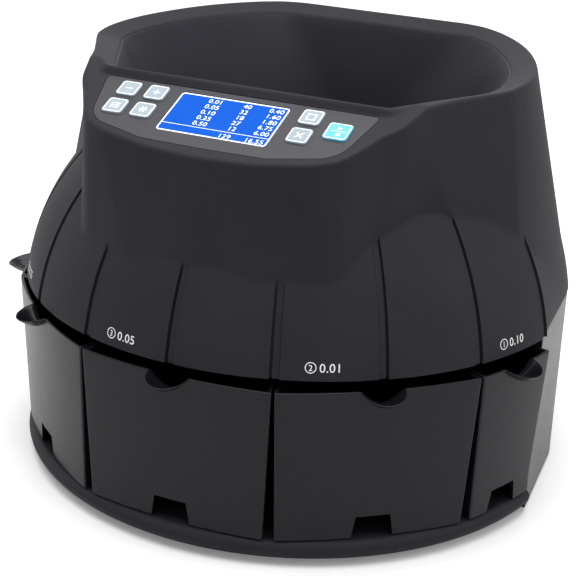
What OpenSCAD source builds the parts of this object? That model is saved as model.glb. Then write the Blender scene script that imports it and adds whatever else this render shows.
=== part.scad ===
// Desktop coin counter and sorter: round base, five pull-out bins, domed housing with hopper and console.
// Millimetres, +Z up, the front faces -Y. Angles are measured from the front, positive towards +X.

/* [Base] */
// Radius of the round base
base_r = 172; // [165:1:185]
// Top of the base, where the bins stand
base_top = 16; // [14:0.5:20]
// Radius of the base's rounded lower edge
base_round = 9; // [5:0.5:10]
// Wall of the base tray
base_wall = 3; // [2:0.5:4]
// Height of the rubber feet below the base
foot_h = 3; // [2:0.5:6]
// Radius of a rubber foot
foot_r = 11; // [8:1:14]
// Distance of the feet from the axis
foot_reach = 132; // [110:1:140]

/* [Bins] */
// Angle that one dome petal covers
petal_angle = 19.76; // [19:0.02:20.5]
// Top of the bins
bin_top = 110.7; // [100:0.1:112]
// Radius of a bin's upper front corners
bin_corner_r = 175.5; // [173:0.5:180]
// Radius of the curve of a bin's front face
bin_face_r = 270; // [220:5:320]
// How far the front face leans in towards the bottom
bin_front_draft = 4.5; // [2:0.5:6]
// Gap beside a bin at its top
bin_gap = 0.5; // [0.4:0.1:1]
// Extra gap beside a bin at its bottom
bin_side_draft = 2.6; // [1:0.1:3]
// Distance of a bin's inner wall from the axis
bin_inner = 87; // [86:0.5:92]
// Wall of a bin
bin_wall = 2.2; // [1.6:0.1:3]
// Height of a bin's floor above the base
bin_floor_h = 16; // [15.5:0.5:20]
// Room under the bins
bin_clear = 0.3; // [0.2:0.05:0.5]
// Radius of the finger notch
scoop_r = 12.5; // [10:0.5:14]
// Wall of the finger scoop
scoop_wall = 1.6; // [1.2:0.1:2]
// Slope of the scoop's rim
scoop_slope = 20; // [15:1:30]
// Width of the foot notch at the bottom
notch_low_w = 25; // [20:1:28]
// Width of the foot notch at its top
notch_top_w = 20; // [16:1:22]
// Height of the foot notch
notch_h = 14; // [10:0.5:15]
// Width of the locating block behind the notch
block_w = 15; // [10:1:18]
// Height of the locating block
block_h = 7; // [4:0.5:10]

/* [Housing] */
// Lower edge of the upper housing
housing_z = 113.85; // [113.4:0.05:118]
// Wall of the upper housing
housing_wall = 3; // [2.4:0.1:4]
// Wall of the rear housing
rear_wall = 2.5; // [2:0.1:3.5]
// Radius of the dome's arc
dome_arc_r = 143.5; // [142:0.5:146]
// Distance of the dome's arc centre from the axis
dome_arc_x = 28.9; // [26:0.1:30]
// Height of the dome's arc centre
dome_arc_z = 94.2; // [92:0.1:96]
// Width of a petal groove
groove_w = 2.4; // [1.5:0.1:4]
// Depth of a petal groove
groove_d = 1.1; // [0.5:0.1:1.5]
// Height of the hopper rim at the front
rim_z = 250.7; // [246:0.1:256]
// Tilt of the hopper rim
rim_tilt = 1.78; // [0:0.02:3]

/* [Hopper] */
// Width of the rim around the hopper mouth at its sides and back
rim_band = 15; // [12:0.5:18]
// Wall of the hopper bowl
bowl_wall = 2.2; // [1.8:0.1:3]
// Radius of the bowl's throat
throat_r = 80; // [79.5:0.5:82]

/* [Panel] */
// Slope of the control panel
panel_slope = 23.02; // [20:0.02:26]
// Width of the display window
lcd_w = 66.4; // [60:0.2:70]
// Height of the display window along the slope
lcd_h = 34.6; // [30:0.2:36]
// Side of a small key
key_size = 12.5; // [10:0.1:13]
// Side of the start key
start_size = 13.8; // [12:0.1:15]
// Gap around a key
key_gap = 0.2; // [0.15:0.05:0.3]
// Height of the keys above the panel
key_proud = 1.2; // [0.8:0.1:1.5]
// Travel of a key
key_travel = 0.8; // [0.5:0.1:0.9]
// Spacing of the key rows
key_row_pitch = 16.3; // [16:0.1:17.5]
// Thickness of the panel overlay
fascia_t = 0.8; // [0.5:0.1:1.2]

/* [Mechanism] */
// Radius of the coin disc
disc_r = 78; // [70:0.5:79]
// Thickness of the coin disc
disc_t = 6; // [4:0.5:8]
// Thickness of the sorting deck
deck_t = 4; // [3:0.5:5]
// Height of the sorting rail above the deck
rail_h = 15; // [14:0.5:20]
// Radius of the spindle
spindle_r = 5; // [4:0.25:6]
// Outer radius of the spindle bearing
bearing_r = 11; // [9:0.5:13]
// Running clearance of the spindle in its bearing
bearing_clear = 0.05; // [0.02:0.01:0.1]
// Gear module
gear_module = 1; // [0.8:0.05:1.2]
// Teeth of the disc gear
gear_teeth = 60; // [56:1:64]
// Teeth of the motor pinion
pinion_teeth = 15; // [14:1:18]
// Thickness of the gears
gear_t = 7; // [5:0.5:8]
// Radius of the drive motor
motor_r = 22; // [18:0.5:24]
// Length of the drive motor
motor_len = 50; // [40:1:56]
// Radius of the motor shaft
motor_shaft_r = 2.5; // [2:0.1:3]

/* [Rear sockets] */
// Width of the mains inlet opening
inlet_w = 28; // [24:0.5:30]
// Height of the mains inlet opening
inlet_h = 20; // [18:0.5:24]
// Width of the switch opening
switch_w = 13; // [11:0.5:15]
// Height of the switch opening
switch_h = 19.5; // [18:0.5:24]
// Side of the printer socket
port_w = 14; // [12:0.5:16]
// How far the switch bezel stands proud of the rear wall
bezel_proud = 3; // [2.5:0.1:4]

/* [Hidden] */
$fn = 96;
hull_fn = 40;
// Overlap of shapes that are joined into one solid
join = 0.4;
// Gap of fixed pieces that slip into each other
fit = 0.2;
// Gap beside pieces that move
move_gap = 0.3;
charcoal = "#2d2d30";
bin_black = "#302f34";
steel = "#b9bcc0";
key_grey = "#b8c4cc";

// Bins: angular places and half angles; the two end bins cover one petal, the others two
wide_half = petal_angle;
narrow_half = petal_angle / 2;
bin_angles = [3.5 * petal_angle, 2 * petal_angle, 0, -2 * petal_angle, -3.5 * petal_angle];
bin_halves = [narrow_half, wide_half, wide_half, wide_half, narrow_half];
sector_half = 4 * petal_angle;
// Base plate: its underside, its reach into the rim, and how far its halves run on into each other
plate_low = base_top - base_wall;
plate_r = base_r - base_round + 2;
seam = 0.5;
// How far the rim stands above the plate
rim_lip = 0.1;
bin_bottom = base_top + bin_clear;
bin_floor = base_top + bin_floor_h;
face_steps = 10;
notch_cut = 20;
function bin_face_mid(half) =
    bin_corner_r * cos(half) + bin_face_r - sqrt(pow(bin_face_r, 2) - pow(bin_corner_r * sin(half), 2));
scoop_out_r = scoop_r + scoop_wall;
block_len = 14;
block_inset = 26;
block_reach = base_r - block_inset;
foot_edge = 1;
foot_angles = [35, -35, 140, -140];

// Plan circles of the hopper rim, [x, y, r], mirrored left and right
rim_front = [84, -85, 8];
rim_side = [84.8, -6.2, 51.9];
rim_mid = [77.8, 27.2, 50.8];
rim_back = [51.8, 60.9, 54];
rim_edge_y = rim_front[1] - rim_front[2];
// Plan circles of the rear wall where the upper housing meets the rear housing
rear_side = [65, 30, 95.5];
rear_back = [60, 67, 75.8];
rear_flank = [150, -31, 16.5];
rear_y = rear_back[1] + rear_back[2];
// Where the partition walls meet the rear wall
rear_flank_reach = norm([rear_flank[0], rear_flank[1]]) + rear_flank[2] - rear_wall / 2;
// Plan circles of the console at the rim's height and at its foot inside the dome
console_rim = [[0, -121.2, 22], [31, -119.6, 22], [62.5, -113.2, 22], [82, -88, 8]];
console_foot = [[0, -131.2, 25.9], [31, -128.7, 25.9], [61.5, -118.8, 25.9], [97, -90, 8]];
console_foot_rise = 36;
console_low = housing_z + console_foot_rise;
// Plan circles of the hopper mouth
mouth_front = [82, -82.5, 4];
mouth_side = [rim_side[0], rim_side[1], rim_side[2] - rim_band];
mouth_mid = [rim_mid[0], rim_mid[1], rim_mid[2] - rim_band];
mouth_back = [rim_back[0], rim_back[1], rim_back[2] - rim_band];
throat_lip = 5.2;

// Panel: origin at the display's upper edge, on the console's centre line
panel_y = -98.5;
panel_z = 243.67;
roof_t = housing_wall;
lcd_y = -lcd_h / 2;
key_mid_y = -13.8;
key_rows = [key_mid_y + key_row_pitch / 2, key_mid_y - key_row_pitch / 2];
key_left_x = [-64.4, -46.9];
key_right_x = 47.6;
start_x = 66.3;
key_places = [
    [key_left_x[0], key_rows[0], key_size],
    [key_left_x[1], key_rows[0], key_size],
    [key_left_x[0], key_rows[1], key_size],
    [key_left_x[1], key_rows[1], key_size],
    [key_right_x, key_rows[0], key_size],
    [key_right_x, key_rows[1], key_size],
    [start_x, key_mid_y, start_size]];
key_flange = 0.9;
key_flange_t = 0.9;
key_stem_r = 2;
fascia_r = 18.5;
fascia_centres = [[0, -25.8], [35, -25.2], [59, -19]];
fascia_back = [81, 2, 2];
window_sunk = 0.3;
module_t = 6.4;
module_rim = 4.5;
board_t = 1.6;
keyboard_w = 148;
keyboard_h = 32;
switch_body = 6;
switch_height = module_t - key_flange_t - 1 - key_travel;
stem_low = -roof_t - module_t + switch_height + key_travel + fit;

// Deck and mechanism heights
deck_z = housing_z;
deck_top = deck_z + deck_t;
dome_wall = housing_wall - 0.5;
dome_h = 84;
dome_top = housing_z + dome_h;
room_steps = 8;
function dome_r(z, inset) =
    dome_arc_x + sqrt(pow(dome_arc_r - inset, 2) - pow(z - dome_arc_z, 2));
deck_r = dome_r(deck_top, dome_wall) - 0.5;
deck_margin = 1.5;
bearing_flange_t = 2.5;
bearing_flange_r = bearing_r + 3;
bearing_low = deck_z - 2;
bearing_top = deck_top + bearing_flange_t;
disc_low = bearing_top + fit;
disc_top = disc_low + disc_t;
rail_in = disc_r + 6;
rail_wall = 6;
rail_top = deck_top + rail_h;
// Exits of the rail, one over each bin, sized up step by step
exit_h = [7, 8, 9, 10, 11];
// Slots for falling coins in the deck, one over each bin: width along the rail, length and distance
slot_w = [16, 30, 30, 30, 16];
slot_len = 30;
slot_reach = rail_in + rail_wall + 2;
// Counting sensor that looks across the rail at the rear
sensor_w = 14;
sensor_h = 10;
sensor_len = 20;
sensor_eye_r = 1.5;
sensor_eye_depth = 4;
// Coin disc
disc_ribs = 8;
rib_w = 5;
rib_h = 2.5;
rib_margin = 4;
hub_r = 16;
// Cap over the spindle's end
cap_r = 14;
cap_top_r = 8;
cap_skirt = 3;
cap_h = 11;
cap_bore = 6;
gear_hub_r = spindle_r + 3.5;
gear_drop = 8;
gear_top = bearing_low - gear_drop;
gear_low = gear_top - gear_t;
gear_r = gear_module * gear_teeth / 2;
pinion_r = gear_module * pinion_teeth / 2;
motor_y = gear_r + pinion_r;
bracket_t = 2;
bracket_top = gear_low - 2;
motor_top = bracket_top - bracket_t;
motor_low = motor_top - motor_len;
motor_boss_r = motor_shaft_r + 3.5;
stand_r = 4;
stand_pad = 3;
stand_back = 24;
stands = [[42, 14], [-42, 14], [32, motor_y + stand_back], [-32, motor_y + stand_back]];
motor_screw_x = 14;
motor_screw_len = 8;
motor_tail = 6;
shaft_depth = 10;
// Teeth: depth in modules inside and outside the pitch circle, half widths as shares of the pitch
tooth_in = 1.15;
tooth_out = 0.85;
root_half = 0.28;
tip_half = 0.12;
// A gap of the disc gear faces +Y, where the pinion's tooth stands
gear_phase = 90 + 180 / gear_teeth;
pinion_phase = -90;

// Core drum and its bosses
drum_r = bin_inner - 2.5;
drum_wall = 2.5;
boss_r = 4;
drum_boss_r = drum_r - drum_wall - boss_r + join;
drum_bosses = [for (a = [0, 58, -58]) drum_boss_r * [sin(a), -cos(a)]];
// Posts along the rear wall, placed by the plan circle that they stand in and its direction
rear_post_r = 6.7;
side_post_angle = 103;
back_post_angle = 150;
function rear_post(spot, side, a) =
    [side * spot[0], spot[1]]
    + (spot[2] - rear_wall - rear_post_r + join) * [side * sin(a), -cos(a)];
rear_posts = [for (side = [-1, 1])
    each [rear_post(rear_side, side, side_post_angle), rear_post(rear_back, side, back_post_angle)]];

// Screws: shank radius, head radius and head height
screw_r = 1.5;
head_r = 2.8;
head_h = 1.8;
screw_len = 14;
housing_boss_r = 5;
dome_boss_reach = 150;
dome_boss_angles = [2.5 * petal_angle, -2.5 * petal_angle];
rear_boss_angle = 140;
rear_boss_angles = [rear_boss_angle, -rear_boss_angle];
dome_boss_top =
    dome_arc_z + sqrt(pow(dome_arc_r - dome_wall / 2, 2)
                      - pow(dome_boss_reach + housing_boss_r - dome_arc_x, 2));
// The tower wall leans in evenly, so its reach at one height lies between those of its two outlines
function reach(spots, a) = max([for (s = spots) s[0] * sin(a) - s[1] * cos(a) + s[2]]);
rear_boss_h = 42;
rear_boss_top = housing_z + rear_boss_h;
rear_boss_share = rear_boss_h / (rim_z - housing_z);
rear_boss_reach =
    reach([rear_side, rear_back], rear_boss_angle) * (1 - rear_boss_share)
    + reach([rim_side, rim_back], rear_boss_angle) * rear_boss_share
    - housing_wall / 2 - housing_boss_r;

// Rear sockets
socket_z = 42;
inlet_x = 34;
switch_x = 0;
port_x = -30;
socket_depth = 20;
flange_t = 1.5;
flange_rim = 3;
inlet_wall = 2.4;
inlet_depth = 15;
port_wall = 1.6;
pin_pitch = 7;
pin_w = 2;
pin_h = 4;
pin_short = 3;
// Heights of the inlet's pins: the middle one stands higher
pin_z = [-4.5, 1.5, -4.5];
// Rocker: its hinge line runs across the switch, inside the bezel
bezel_wall = 1.5;
rocker_tilt = 8;
rocker_pin_r = 1.2;
rocker_w = switch_w - 2 * bezel_wall - 2 * move_gap;
rocker_half_h = switch_h / 2 - bezel_wall - 4 * move_gap;
rocker_mid = 4;
rocker_edge = rocker_mid + 1;
rocker_back = 3;
rocker_y = rear_y + bezel_proud - move_gap
    - rocker_edge * cos(rocker_tilt) - rocker_half_h * sin(rocker_tilt);
// Ventilation slots in the rear wall
vent_n = 9;
vent_pitch = 10;
vent_w = 3;
vent_low = 66;
vent_h = 28;

// Circuit board in the rear compartment, on four posts, and the transformer beside it
post_r = 3;
post_h = 6;
board_x = -80;
board_y = 76;
board_w = 80;
board_d = 64;
board_posts = [for (i = [-1, 1], j = [-1, 1])
    [board_x + i * (board_w / 2 - 5), board_y + j * (board_d / 2 - 5)]];
// Blocks on the board: [x, y, width, depth, height], and its capacitors
board_blocks = [[-12, -10, 16, 16, 2], [14, 8, 22, 12, 15], [-36, -8, 6, 28, 9]];
capacitors = [[20, -18], [20, -9], [20, 0]];
capacitor_r = 4;
capacitor_h = 12;
transformer_x = 72;
transformer_y = 66;
// Transformer: foot plate, laminated core and coil
core_w = 56;
core_d = 22;
core_h = 47;
plate_d = 48;
plate_t = 3;
coil_w = 34;
coil_d = 44;
coil_h = 36;

// The origin is under the middle of the whole outline
front_reach = bin_face_mid(wide_half) + scoop_out_r * cos(scoop_slope);
axis_y = (front_reach - rear_y - bezel_proud) / 2;

// Turns local +X to a direction measured from the front
module at_angle(a) {
    rotate([0, 0, a - 90]) children();
}

// Moves a shape drawn about the disc's axis into the part's frame
module placed() {
    translate([0, axis_y, 0]) children();
}

// Panel frame: X across, Y up the slope, Z out of the panel
module on_panel() {
    translate([0, panel_y, panel_z]) rotate([panel_slope, 0, 0]) children();
}

// Rim frame: Z = 0 is the tilted plane of the hopper rim
module on_rim() {
    translate([0, rim_edge_y, rim_z]) rotate([rim_tilt, 0, 0]) translate([0, -rim_edge_y, 0]) children();
}

module disc_pair(spot, grow) {
    for (side = [-1, 1])
        translate([side * spot[0], spot[1]]) circle(spot[2] + grow, $fn = hull_fn);
}

module rim_discs(grow) {
    for (spot = [rim_front, rim_side, rim_mid, rim_back])
        disc_pair(spot, grow);
}

module mouth_discs(grow, front_grow) {
    disc_pair(mouth_front, front_grow);
    disc_pair(mouth_side, grow);
    disc_pair(mouth_mid, grow);
    disc_pair(mouth_back, grow);
}

module rear_discs(grow) {
    for (spot = [rear_side, rear_back, rear_flank])
        disc_pair(spot, grow);
}

module rear_outline(grow) {
    hull() rear_discs(grow);
}

// Pie slice that covers the bins, seen from above
module front_sector(reach, steps = 8) {
    polygon(concat([[0, 0]],
        [for (i = [-steps:steps])
            let (a = i / steps * sector_half)
            reach * [sin(a), -cos(a)]]));
}

// Screw with its head's underside at Z = 0 and its shank pointing down
module screw(length) {
    translate([0, 0, -length]) cylinder(r = screw_r, h = length, $fn = 24);
    cylinder(r = head_r, h = head_h, $fn = 32);
}

// Round plate that carries the bins, with a rounded rim below it and a skirt inside the rear housing
module base_tray() {
    color(charcoal) {
        difference() {
            translate([0, 0, plate_low]) linear_extrude(base_wall) {
                intersection() {
                    circle(plate_r);
                    translate([0, seam]) front_sector(2 * base_r);
                }
                difference() {
                    rear_outline(-rear_wall - fit);
                    translate([0, -seam]) front_sector(2 * base_r);
                }
            }
            for (p = concat(drum_bosses, rear_posts))
                translate([p[0], p[1], 0]) cylinder(r = screw_r + fit, h = base_top + 1, $fn = 24);
        }
        rotate([0, 0, -90 - sector_half]) rotate_extrude(angle = 2 * sector_half) {
            translate([base_r - base_round, foot_h + base_round])
                square([base_round, base_top + rim_lip - foot_h - base_round]);
            intersection() {
                translate([base_r - base_round, foot_h + base_round]) circle(base_round);
                translate([base_r - base_round, foot_h]) square(base_round);
            }
        }
        translate([0, 0, foot_h]) linear_extrude(plate_low - foot_h) difference() {
            rear_outline(-rear_wall - fit);
            rear_outline(-rear_wall - fit - base_wall);
            translate([0, seam]) front_sector(2 * base_r);
        }
        difference() {
            for (a = foot_angles)
                at_angle(a) translate([foot_reach, 0, foot_h])
                    cylinder(r = foot_r, h = plate_low - foot_h + join);
            for (p = concat(drum_bosses, rear_posts))
                translate([p[0], p[1], 0]) {
                    cylinder(r = head_r + fit, h = plate_low, $fn = 32);
                    cylinder(r = screw_r + fit, h = base_top, $fn = 24);
                }
        }
        for (a = bin_angles)
            at_angle(a) translate([block_reach - block_len, -block_w / 2, base_top - join])
                cube([block_len, block_w, block_h + join]);
        for (p = board_posts)
            translate([p[0], p[1], base_top - join]) cylinder(r = post_r, h = post_h + join, $fn = 32);
    }
}

module rubber_feet() {
    color("#1b1b1b")
        for (a = foot_angles)
            at_angle(a) translate([foot_reach, 0, 0]) rotate_extrude() difference() {
                square([foot_r - foot_edge, foot_h]);
                translate([foot_r - foot_edge, 0]) circle(foot_edge, $fn = 32);
            }
}

module core_drum() {
    color(charcoal) translate([0, 0, base_top]) linear_extrude(deck_z - base_top) difference() {
        union() {
            intersection() {
                difference() {
                    circle(drum_r);
                    circle(drum_r - drum_wall);
                }
                front_sector(2 * drum_r);
            }
            for (p = drum_bosses)
                translate(p) circle(boss_r);
        }
        for (p = drum_bosses)
            translate(p) circle(screw_r, $fn = 24);
    }
}

module rear_housing() {
    color(charcoal) {
        difference() {
            union() {
                translate([0, 0, foot_h]) linear_extrude(housing_z - foot_h) difference() {
                    rear_outline(0);
                    rear_outline(-rear_wall);
                    front_sector(2 * base_r);
                }
                // Partition walls beside the end bins
                for (side = [-1, 1])
                    at_angle(side * sector_half)
                        translate([drum_r + fit, side > 0 ? 0 : -rear_wall, base_top])
                            cube([rear_flank_reach - drum_r - fit, rear_wall, deck_z - base_top]);
                for (p = rear_posts)
                    translate([p[0], p[1], base_top]) cylinder(r = rear_post_r, h = deck_z - base_top);
            }
            for (p = rear_posts)
                translate([p[0], p[1], base_top - 1])
                    cylinder(r = screw_r, h = deck_z - base_top + 2, $fn = 24);
            socket_cut(inlet_x, inlet_w, inlet_h);
            socket_cut(switch_x, switch_w, switch_h);
            socket_cut(port_x, port_w, port_w);
            for (i = [0:vent_n - 1])
                translate([(i - (vent_n - 1) / 2) * vent_pitch, rear_y - 2 * rear_wall, vent_low])
                    translate([-vent_w / 2, 0, 0]) cube([vent_w, 4 * rear_wall, vent_h]);
        }
    }
}

module socket_cut(x, w, h) {
    translate([x - w / 2, rear_y - 2 * rear_wall, socket_z - h / 2]) cube([w, 4 * rear_wall, h]);
}

module sorting_deck() {
    color("#8a8d91") difference() {
        union() {
            translate([0, 0, deck_z]) linear_extrude(deck_t) intersection() {
                circle(deck_r);
                front_sector(2 * base_r);
            }
            translate([0, 0, deck_z]) linear_extrude(deck_t) difference() {
                rear_outline(-housing_wall - deck_margin);
                front_sector(2 * base_r);
            }
        }
        translate([0, 0, deck_z - 1]) cylinder(r = bearing_r, h = deck_t + 2);
        for (i = [0:4])
            at_angle(bin_angles[i]) translate([slot_reach, -slot_w[i] / 2, deck_z - 1])
                cube([slot_len, slot_w[i], deck_t + 2]);
        for (p = concat(drum_bosses, rear_posts, stands))
            translate([p[0], p[1], deck_z - 1]) deck_hole();
        for (a = dome_boss_angles)
            at_angle(a) translate([dome_boss_reach, 0, deck_z - 1]) deck_hole();
        for (a = rear_boss_angles)
            at_angle(a) translate([rear_boss_reach, 0, deck_z - 1]) deck_hole();
    }
}

module deck_hole() {
    cylinder(r = screw_r + fit, h = deck_t + 2, $fn = 24);
}

// Dome body of revolution over the bins, drawn solid up to the flange inside the tower
module dome_solid(inset, angle_more) {
    rotate([0, 0, -90 - sector_half - angle_more])
        rotate_extrude(angle = 2 * (sector_half + angle_more)) intersection() {
            translate([dome_arc_x, dome_arc_z]) circle(dome_arc_r - inset);
            translate([0, housing_z - inset]) square([2 * base_r, dome_top - housing_z + 2 * inset]);
        }
}

// The space that the dome fills, as a stack of sectors, which trims the tower's foot
module dome_room(gap) {
    hull() for (i = [0:room_steps])
        let (z = housing_z - 1 + i / room_steps * (dome_top + 1 - housing_z))
        translate([0, 0, z]) linear_extrude(0.1) front_sector(dome_r(z, -gap), 24);
}

// One groove between petals, as an upright slice along the dome's arc
module petal_groove(a) {
    at_angle(a) rotate([90, 0, 0]) linear_extrude(groove_w, center = true) intersection() {
        translate([dome_arc_x, dome_arc_z]) difference() {
            circle(dome_arc_r + 2);
            circle(dome_arc_r - groove_d);
        }
        translate([throat_r, housing_z - 1]) square([base_r, rim_z]);
    }
}

// Drafted hopper body from the rear wall's outline up to the rim, or its inside up to the roof
module hopper_solid(inset) {
    difference() {
        hull() {
            on_rim() linear_extrude(1) rim_discs(-inset);
            translate([0, 0, housing_z - (inset > 0 ? 1 : 0)]) linear_extrude(1) {
                rear_discs(-inset);
                disc_pair(rim_front, -inset);
            }
        }
        on_rim() translate([-base_r, -base_r, inset > 0 ? -roof_t : 0])
            cube([2 * base_r, 2 * base_r, base_r]);
    }
}

// Console in front of the hopper, cut off by the sloping panel
module console_solid(inset) {
    difference() {
        hull() {
            translate([0, 0, rim_z - 1]) linear_extrude(1)
                for (spot = console_rim)
                    disc_pair(spot, -inset);
            translate([0, 0, console_low]) linear_extrude(1)
                for (spot = console_foot)
                    disc_pair(spot, -inset);
        }
        on_panel() translate([-base_r, -base_r, inset > 0 ? -roof_t : 0])
            cube([2 * base_r, 2 * base_r, base_r]);
    }
}

module fascia_outline(grow) {
    hull() for (side = [-1, 1]) {
        for (c = fascia_centres)
            translate([side * c[0], c[1]]) circle(fascia_r + grow, $fn = hull_fn);
        translate([side * fascia_back[0], fascia_back[1]]) circle(fascia_back[2] + grow, $fn = 24);
    }
}

// Openings for the keys and the display, through the panel
module panel_openings(depth) {
    for (k = key_places)
        translate([k[0] - k[2] / 2 - key_gap, k[1] - k[2] / 2 - key_gap, -depth])
            cube([k[2] + 2 * key_gap, k[2] + 2 * key_gap, 2 * depth]);
    translate([-lcd_w / 2 - key_gap, lcd_y - lcd_h / 2 - key_gap, -depth])
        cube([lcd_w + 2 * key_gap, lcd_h + 2 * key_gap, 2 * depth]);
}

module housing_boss(top) {
    translate([0, 0, deck_top]) difference() {
        cylinder(r = housing_boss_r, h = top - deck_top);
        translate([0, 0, -1]) cylinder(r = screw_r, h = screw_len + 1, $fn = 24);
    }
}

module dome_cover() {
    color(charcoal) {
        difference() {
            dome_solid(0, 0);
            for (i = [-3:3])
                petal_groove(i * petal_angle);
            dome_solid(dome_wall, 1);
        }
        for (a = dome_boss_angles)
            at_angle(a) translate([dome_boss_reach, 0, 0]) housing_boss(dome_boss_top);
    }
}

module hopper_tower() {
    color(charcoal) {
        difference() {
            union() {
                hopper_solid(0);
                console_solid(0);
            }
            dome_room(move_gap);
            hopper_solid(housing_wall);
            console_solid(housing_wall);
            on_rim() translate([0, 0, -2 * roof_t]) linear_extrude(4 * roof_t) hull() mouth_discs(0, 0);
            on_panel() panel_openings(2 * roof_t);
            on_panel() translate([0, 0, -fascia_t]) linear_extrude(2 * fascia_t) fascia_outline(0);
        }
        for (a = rear_boss_angles)
            at_angle(a) translate([rear_boss_reach, 0, 0]) housing_boss(rear_boss_top);
    }
}

module hopper_bowl() {
    color("#37373b") difference() {
        union() {
            hull() {
                on_rim() translate([0, 0, -roof_t - 1]) linear_extrude(1) mouth_discs(bowl_wall, bowl_wall);
                translate([0, 0, rail_top]) cylinder(r = throat_r + throat_lip, h = 2, $fn = hull_fn);
            }
            on_rim() translate([0, 0, -roof_t - 2]) linear_extrude(2)
                hull() mouth_discs(rim_band / 2, bowl_wall + join);
        }
        hull() {
            on_rim() translate([0, 0, -roof_t - 1]) linear_extrude(2) mouth_discs(0, 0);
            translate([0, 0, rail_top - 1]) cylinder(r = throat_r, h = 2, $fn = hull_fn);
        }
    }
}

module panel_fascia() {
    color("#3c3d41") on_panel() difference() {
        translate([0, 0, -fascia_t]) linear_extrude(fascia_t) fascia_outline(-fit);
        panel_openings(2 * roof_t);
    }
}

module lcd_window() {
    color("#0a6ef0") on_panel() translate([-lcd_w / 2, lcd_y - lcd_h / 2, -roof_t])
        cube([lcd_w, lcd_h, roof_t - window_sunk]);
}

module lcd_module() {
    color("#20242a") on_panel()
        translate([-lcd_w / 2 - module_rim, lcd_y - lcd_h / 2 - module_rim, -roof_t - module_t])
            cube([lcd_w + 2 * module_rim, lcd_h + 2 * module_rim, module_t]);
}

module keypad_board() {
    color("#1f6b3a") on_panel()
        translate([-keyboard_w / 2, key_mid_y - keyboard_h / 2, -roof_t - module_t - board_t])
            cube([keyboard_w, keyboard_h, board_t]);
}

module key_switches() {
    color("#17171a") on_panel()
        for (k = key_places)
            translate([k[0] - switch_body / 2, k[1] - switch_body / 2, -roof_t - module_t])
                cube([switch_body, switch_body, switch_height]);
}

// Key cap with a flange under the panel and a stem over its switch
module key_cap(k, tint) {
    color(tint) on_panel() translate([k[0], k[1], 0]) {
        translate([-k[2] / 2, -k[2] / 2, -roof_t - move_gap])
            cube([k[2], k[2], roof_t + move_gap + key_proud]);
        translate([-k[2] / 2 - key_flange, -k[2] / 2 - key_flange, -roof_t - move_gap - key_flange_t])
            cube([k[2] + 2 * key_flange, k[2] + 2 * key_flange, key_flange_t]);
        translate([0, 0, stem_low]) cylinder(r = key_stem_r, h = -roof_t - move_gap - stem_low, $fn = 32);
    }
}

module main_board() {
    color("#1f6b3a") translate([board_x, board_y, base_top + post_h]) {
        translate([-board_w / 2, -board_d / 2, 0]) cube([board_w, board_d, board_t]);
        for (b = board_blocks)
            translate([b[0], b[1], board_t - join]) cube([b[2], b[3], b[4] + join]);
        for (c = capacitors)
            translate([c[0], c[1], board_t - join])
                cylinder(r = capacitor_r, h = capacitor_h + join, $fn = 32);
    }
}

module power_transformer() {
    color("#6a6d72") translate([transformer_x, transformer_y, base_top]) {
        translate([-core_w / 2, -plate_d / 2, 0]) cube([core_w, plate_d, plate_t]);
        translate([-core_w / 2, -core_d / 2, 0]) cube([core_w, core_d, core_h]);
        translate([-coil_w / 2, -coil_d / 2, plate_t - join]) cube([coil_w, coil_d, coil_h]);
    }
}

module drive_motor() {
    color(steel) translate([0, motor_y, 0]) difference() {
        union() {
            translate([0, 0, motor_low]) cylinder(r = motor_r, h = motor_len);
            translate([0, 0, motor_top - join]) cylinder(r = motor_boss_r, h = bracket_t + join);
            translate([0, 0, motor_low - motor_tail]) cylinder(r = motor_r / 2, h = motor_tail + join);
        }
        translate([0, 0, motor_top - shaft_depth - 1])
            cylinder(r = motor_shaft_r + bearing_clear, h = 2 * shaft_depth, $fn = 48);
        for (side = [-1, 1])
            translate([side * motor_screw_x, 0, motor_top - motor_screw_len])
                cylinder(r = screw_r, h = motor_screw_len + 1, $fn = 24);
    }
}

module motor_bracket() {
    color("#9da1a6") difference() {
        union() {
            translate([0, 0, motor_top]) linear_extrude(bracket_t) hull()
                for (p = stands)
                    translate(p) circle(stand_r + stand_pad, $fn = hull_fn);
            for (p = stands)
                translate([p[0], p[1], motor_top]) cylinder(r = stand_r, h = deck_z - motor_top);
        }
        translate([0, motor_y, motor_top - 1]) cylinder(r = motor_boss_r, h = bracket_t + 2);
        for (side = [-1, 1])
            translate([side * motor_screw_x, motor_y, motor_top - 1])
                cylinder(r = screw_r, h = bracket_t + 2, $fn = 24);
        for (p = stands)
            translate([p[0], p[1], deck_z - screw_len]) cylinder(r = screw_r, h = screw_len + 1, $fn = 24);
    }
}

module spindle_bearing() {
    color("#c9a15a") difference() {
        union() {
            translate([0, 0, bearing_low]) cylinder(r = bearing_r, h = bearing_top - bearing_low);
            translate([0, 0, deck_top]) cylinder(r = bearing_flange_r, h = bearing_flange_t);
        }
        translate([0, 0, bearing_low - 1])
            cylinder(r = spindle_r + bearing_clear, h = bearing_top - bearing_low + 2);
    }
}

module sorting_rail() {
    color(steel) difference() {
        translate([0, 0, deck_top]) rotate_extrude()
            translate([rail_in, 0]) square([rail_wall, rail_h]);
        for (i = [0:4])
            at_angle(bin_angles[i]) translate([rail_in - 2, -slot_w[i] / 2, deck_top - 1])
                cube([rail_wall + 4, slot_w[i], exit_h[i] + 1]);
        sensor_cut();
    }
}

module sensor_cut() {
    translate([-sensor_w / 2 - fit, rail_in - 2, deck_top - 1])
        cube([sensor_w + 2 * fit, rail_wall + 4, sensor_h + fit + 1]);
}

module coin_sensor() {
    color("#17171a") translate([-sensor_w / 2, rail_in, deck_top]) difference() {
        cube([sensor_w, sensor_len, sensor_h]);
        translate([sensor_w / 2, -1, sensor_h / 2]) rotate([-90, 0, 0])
            cylinder(r = sensor_eye_r, h = sensor_eye_depth + 1, $fn = 24);
    }
}

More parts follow.
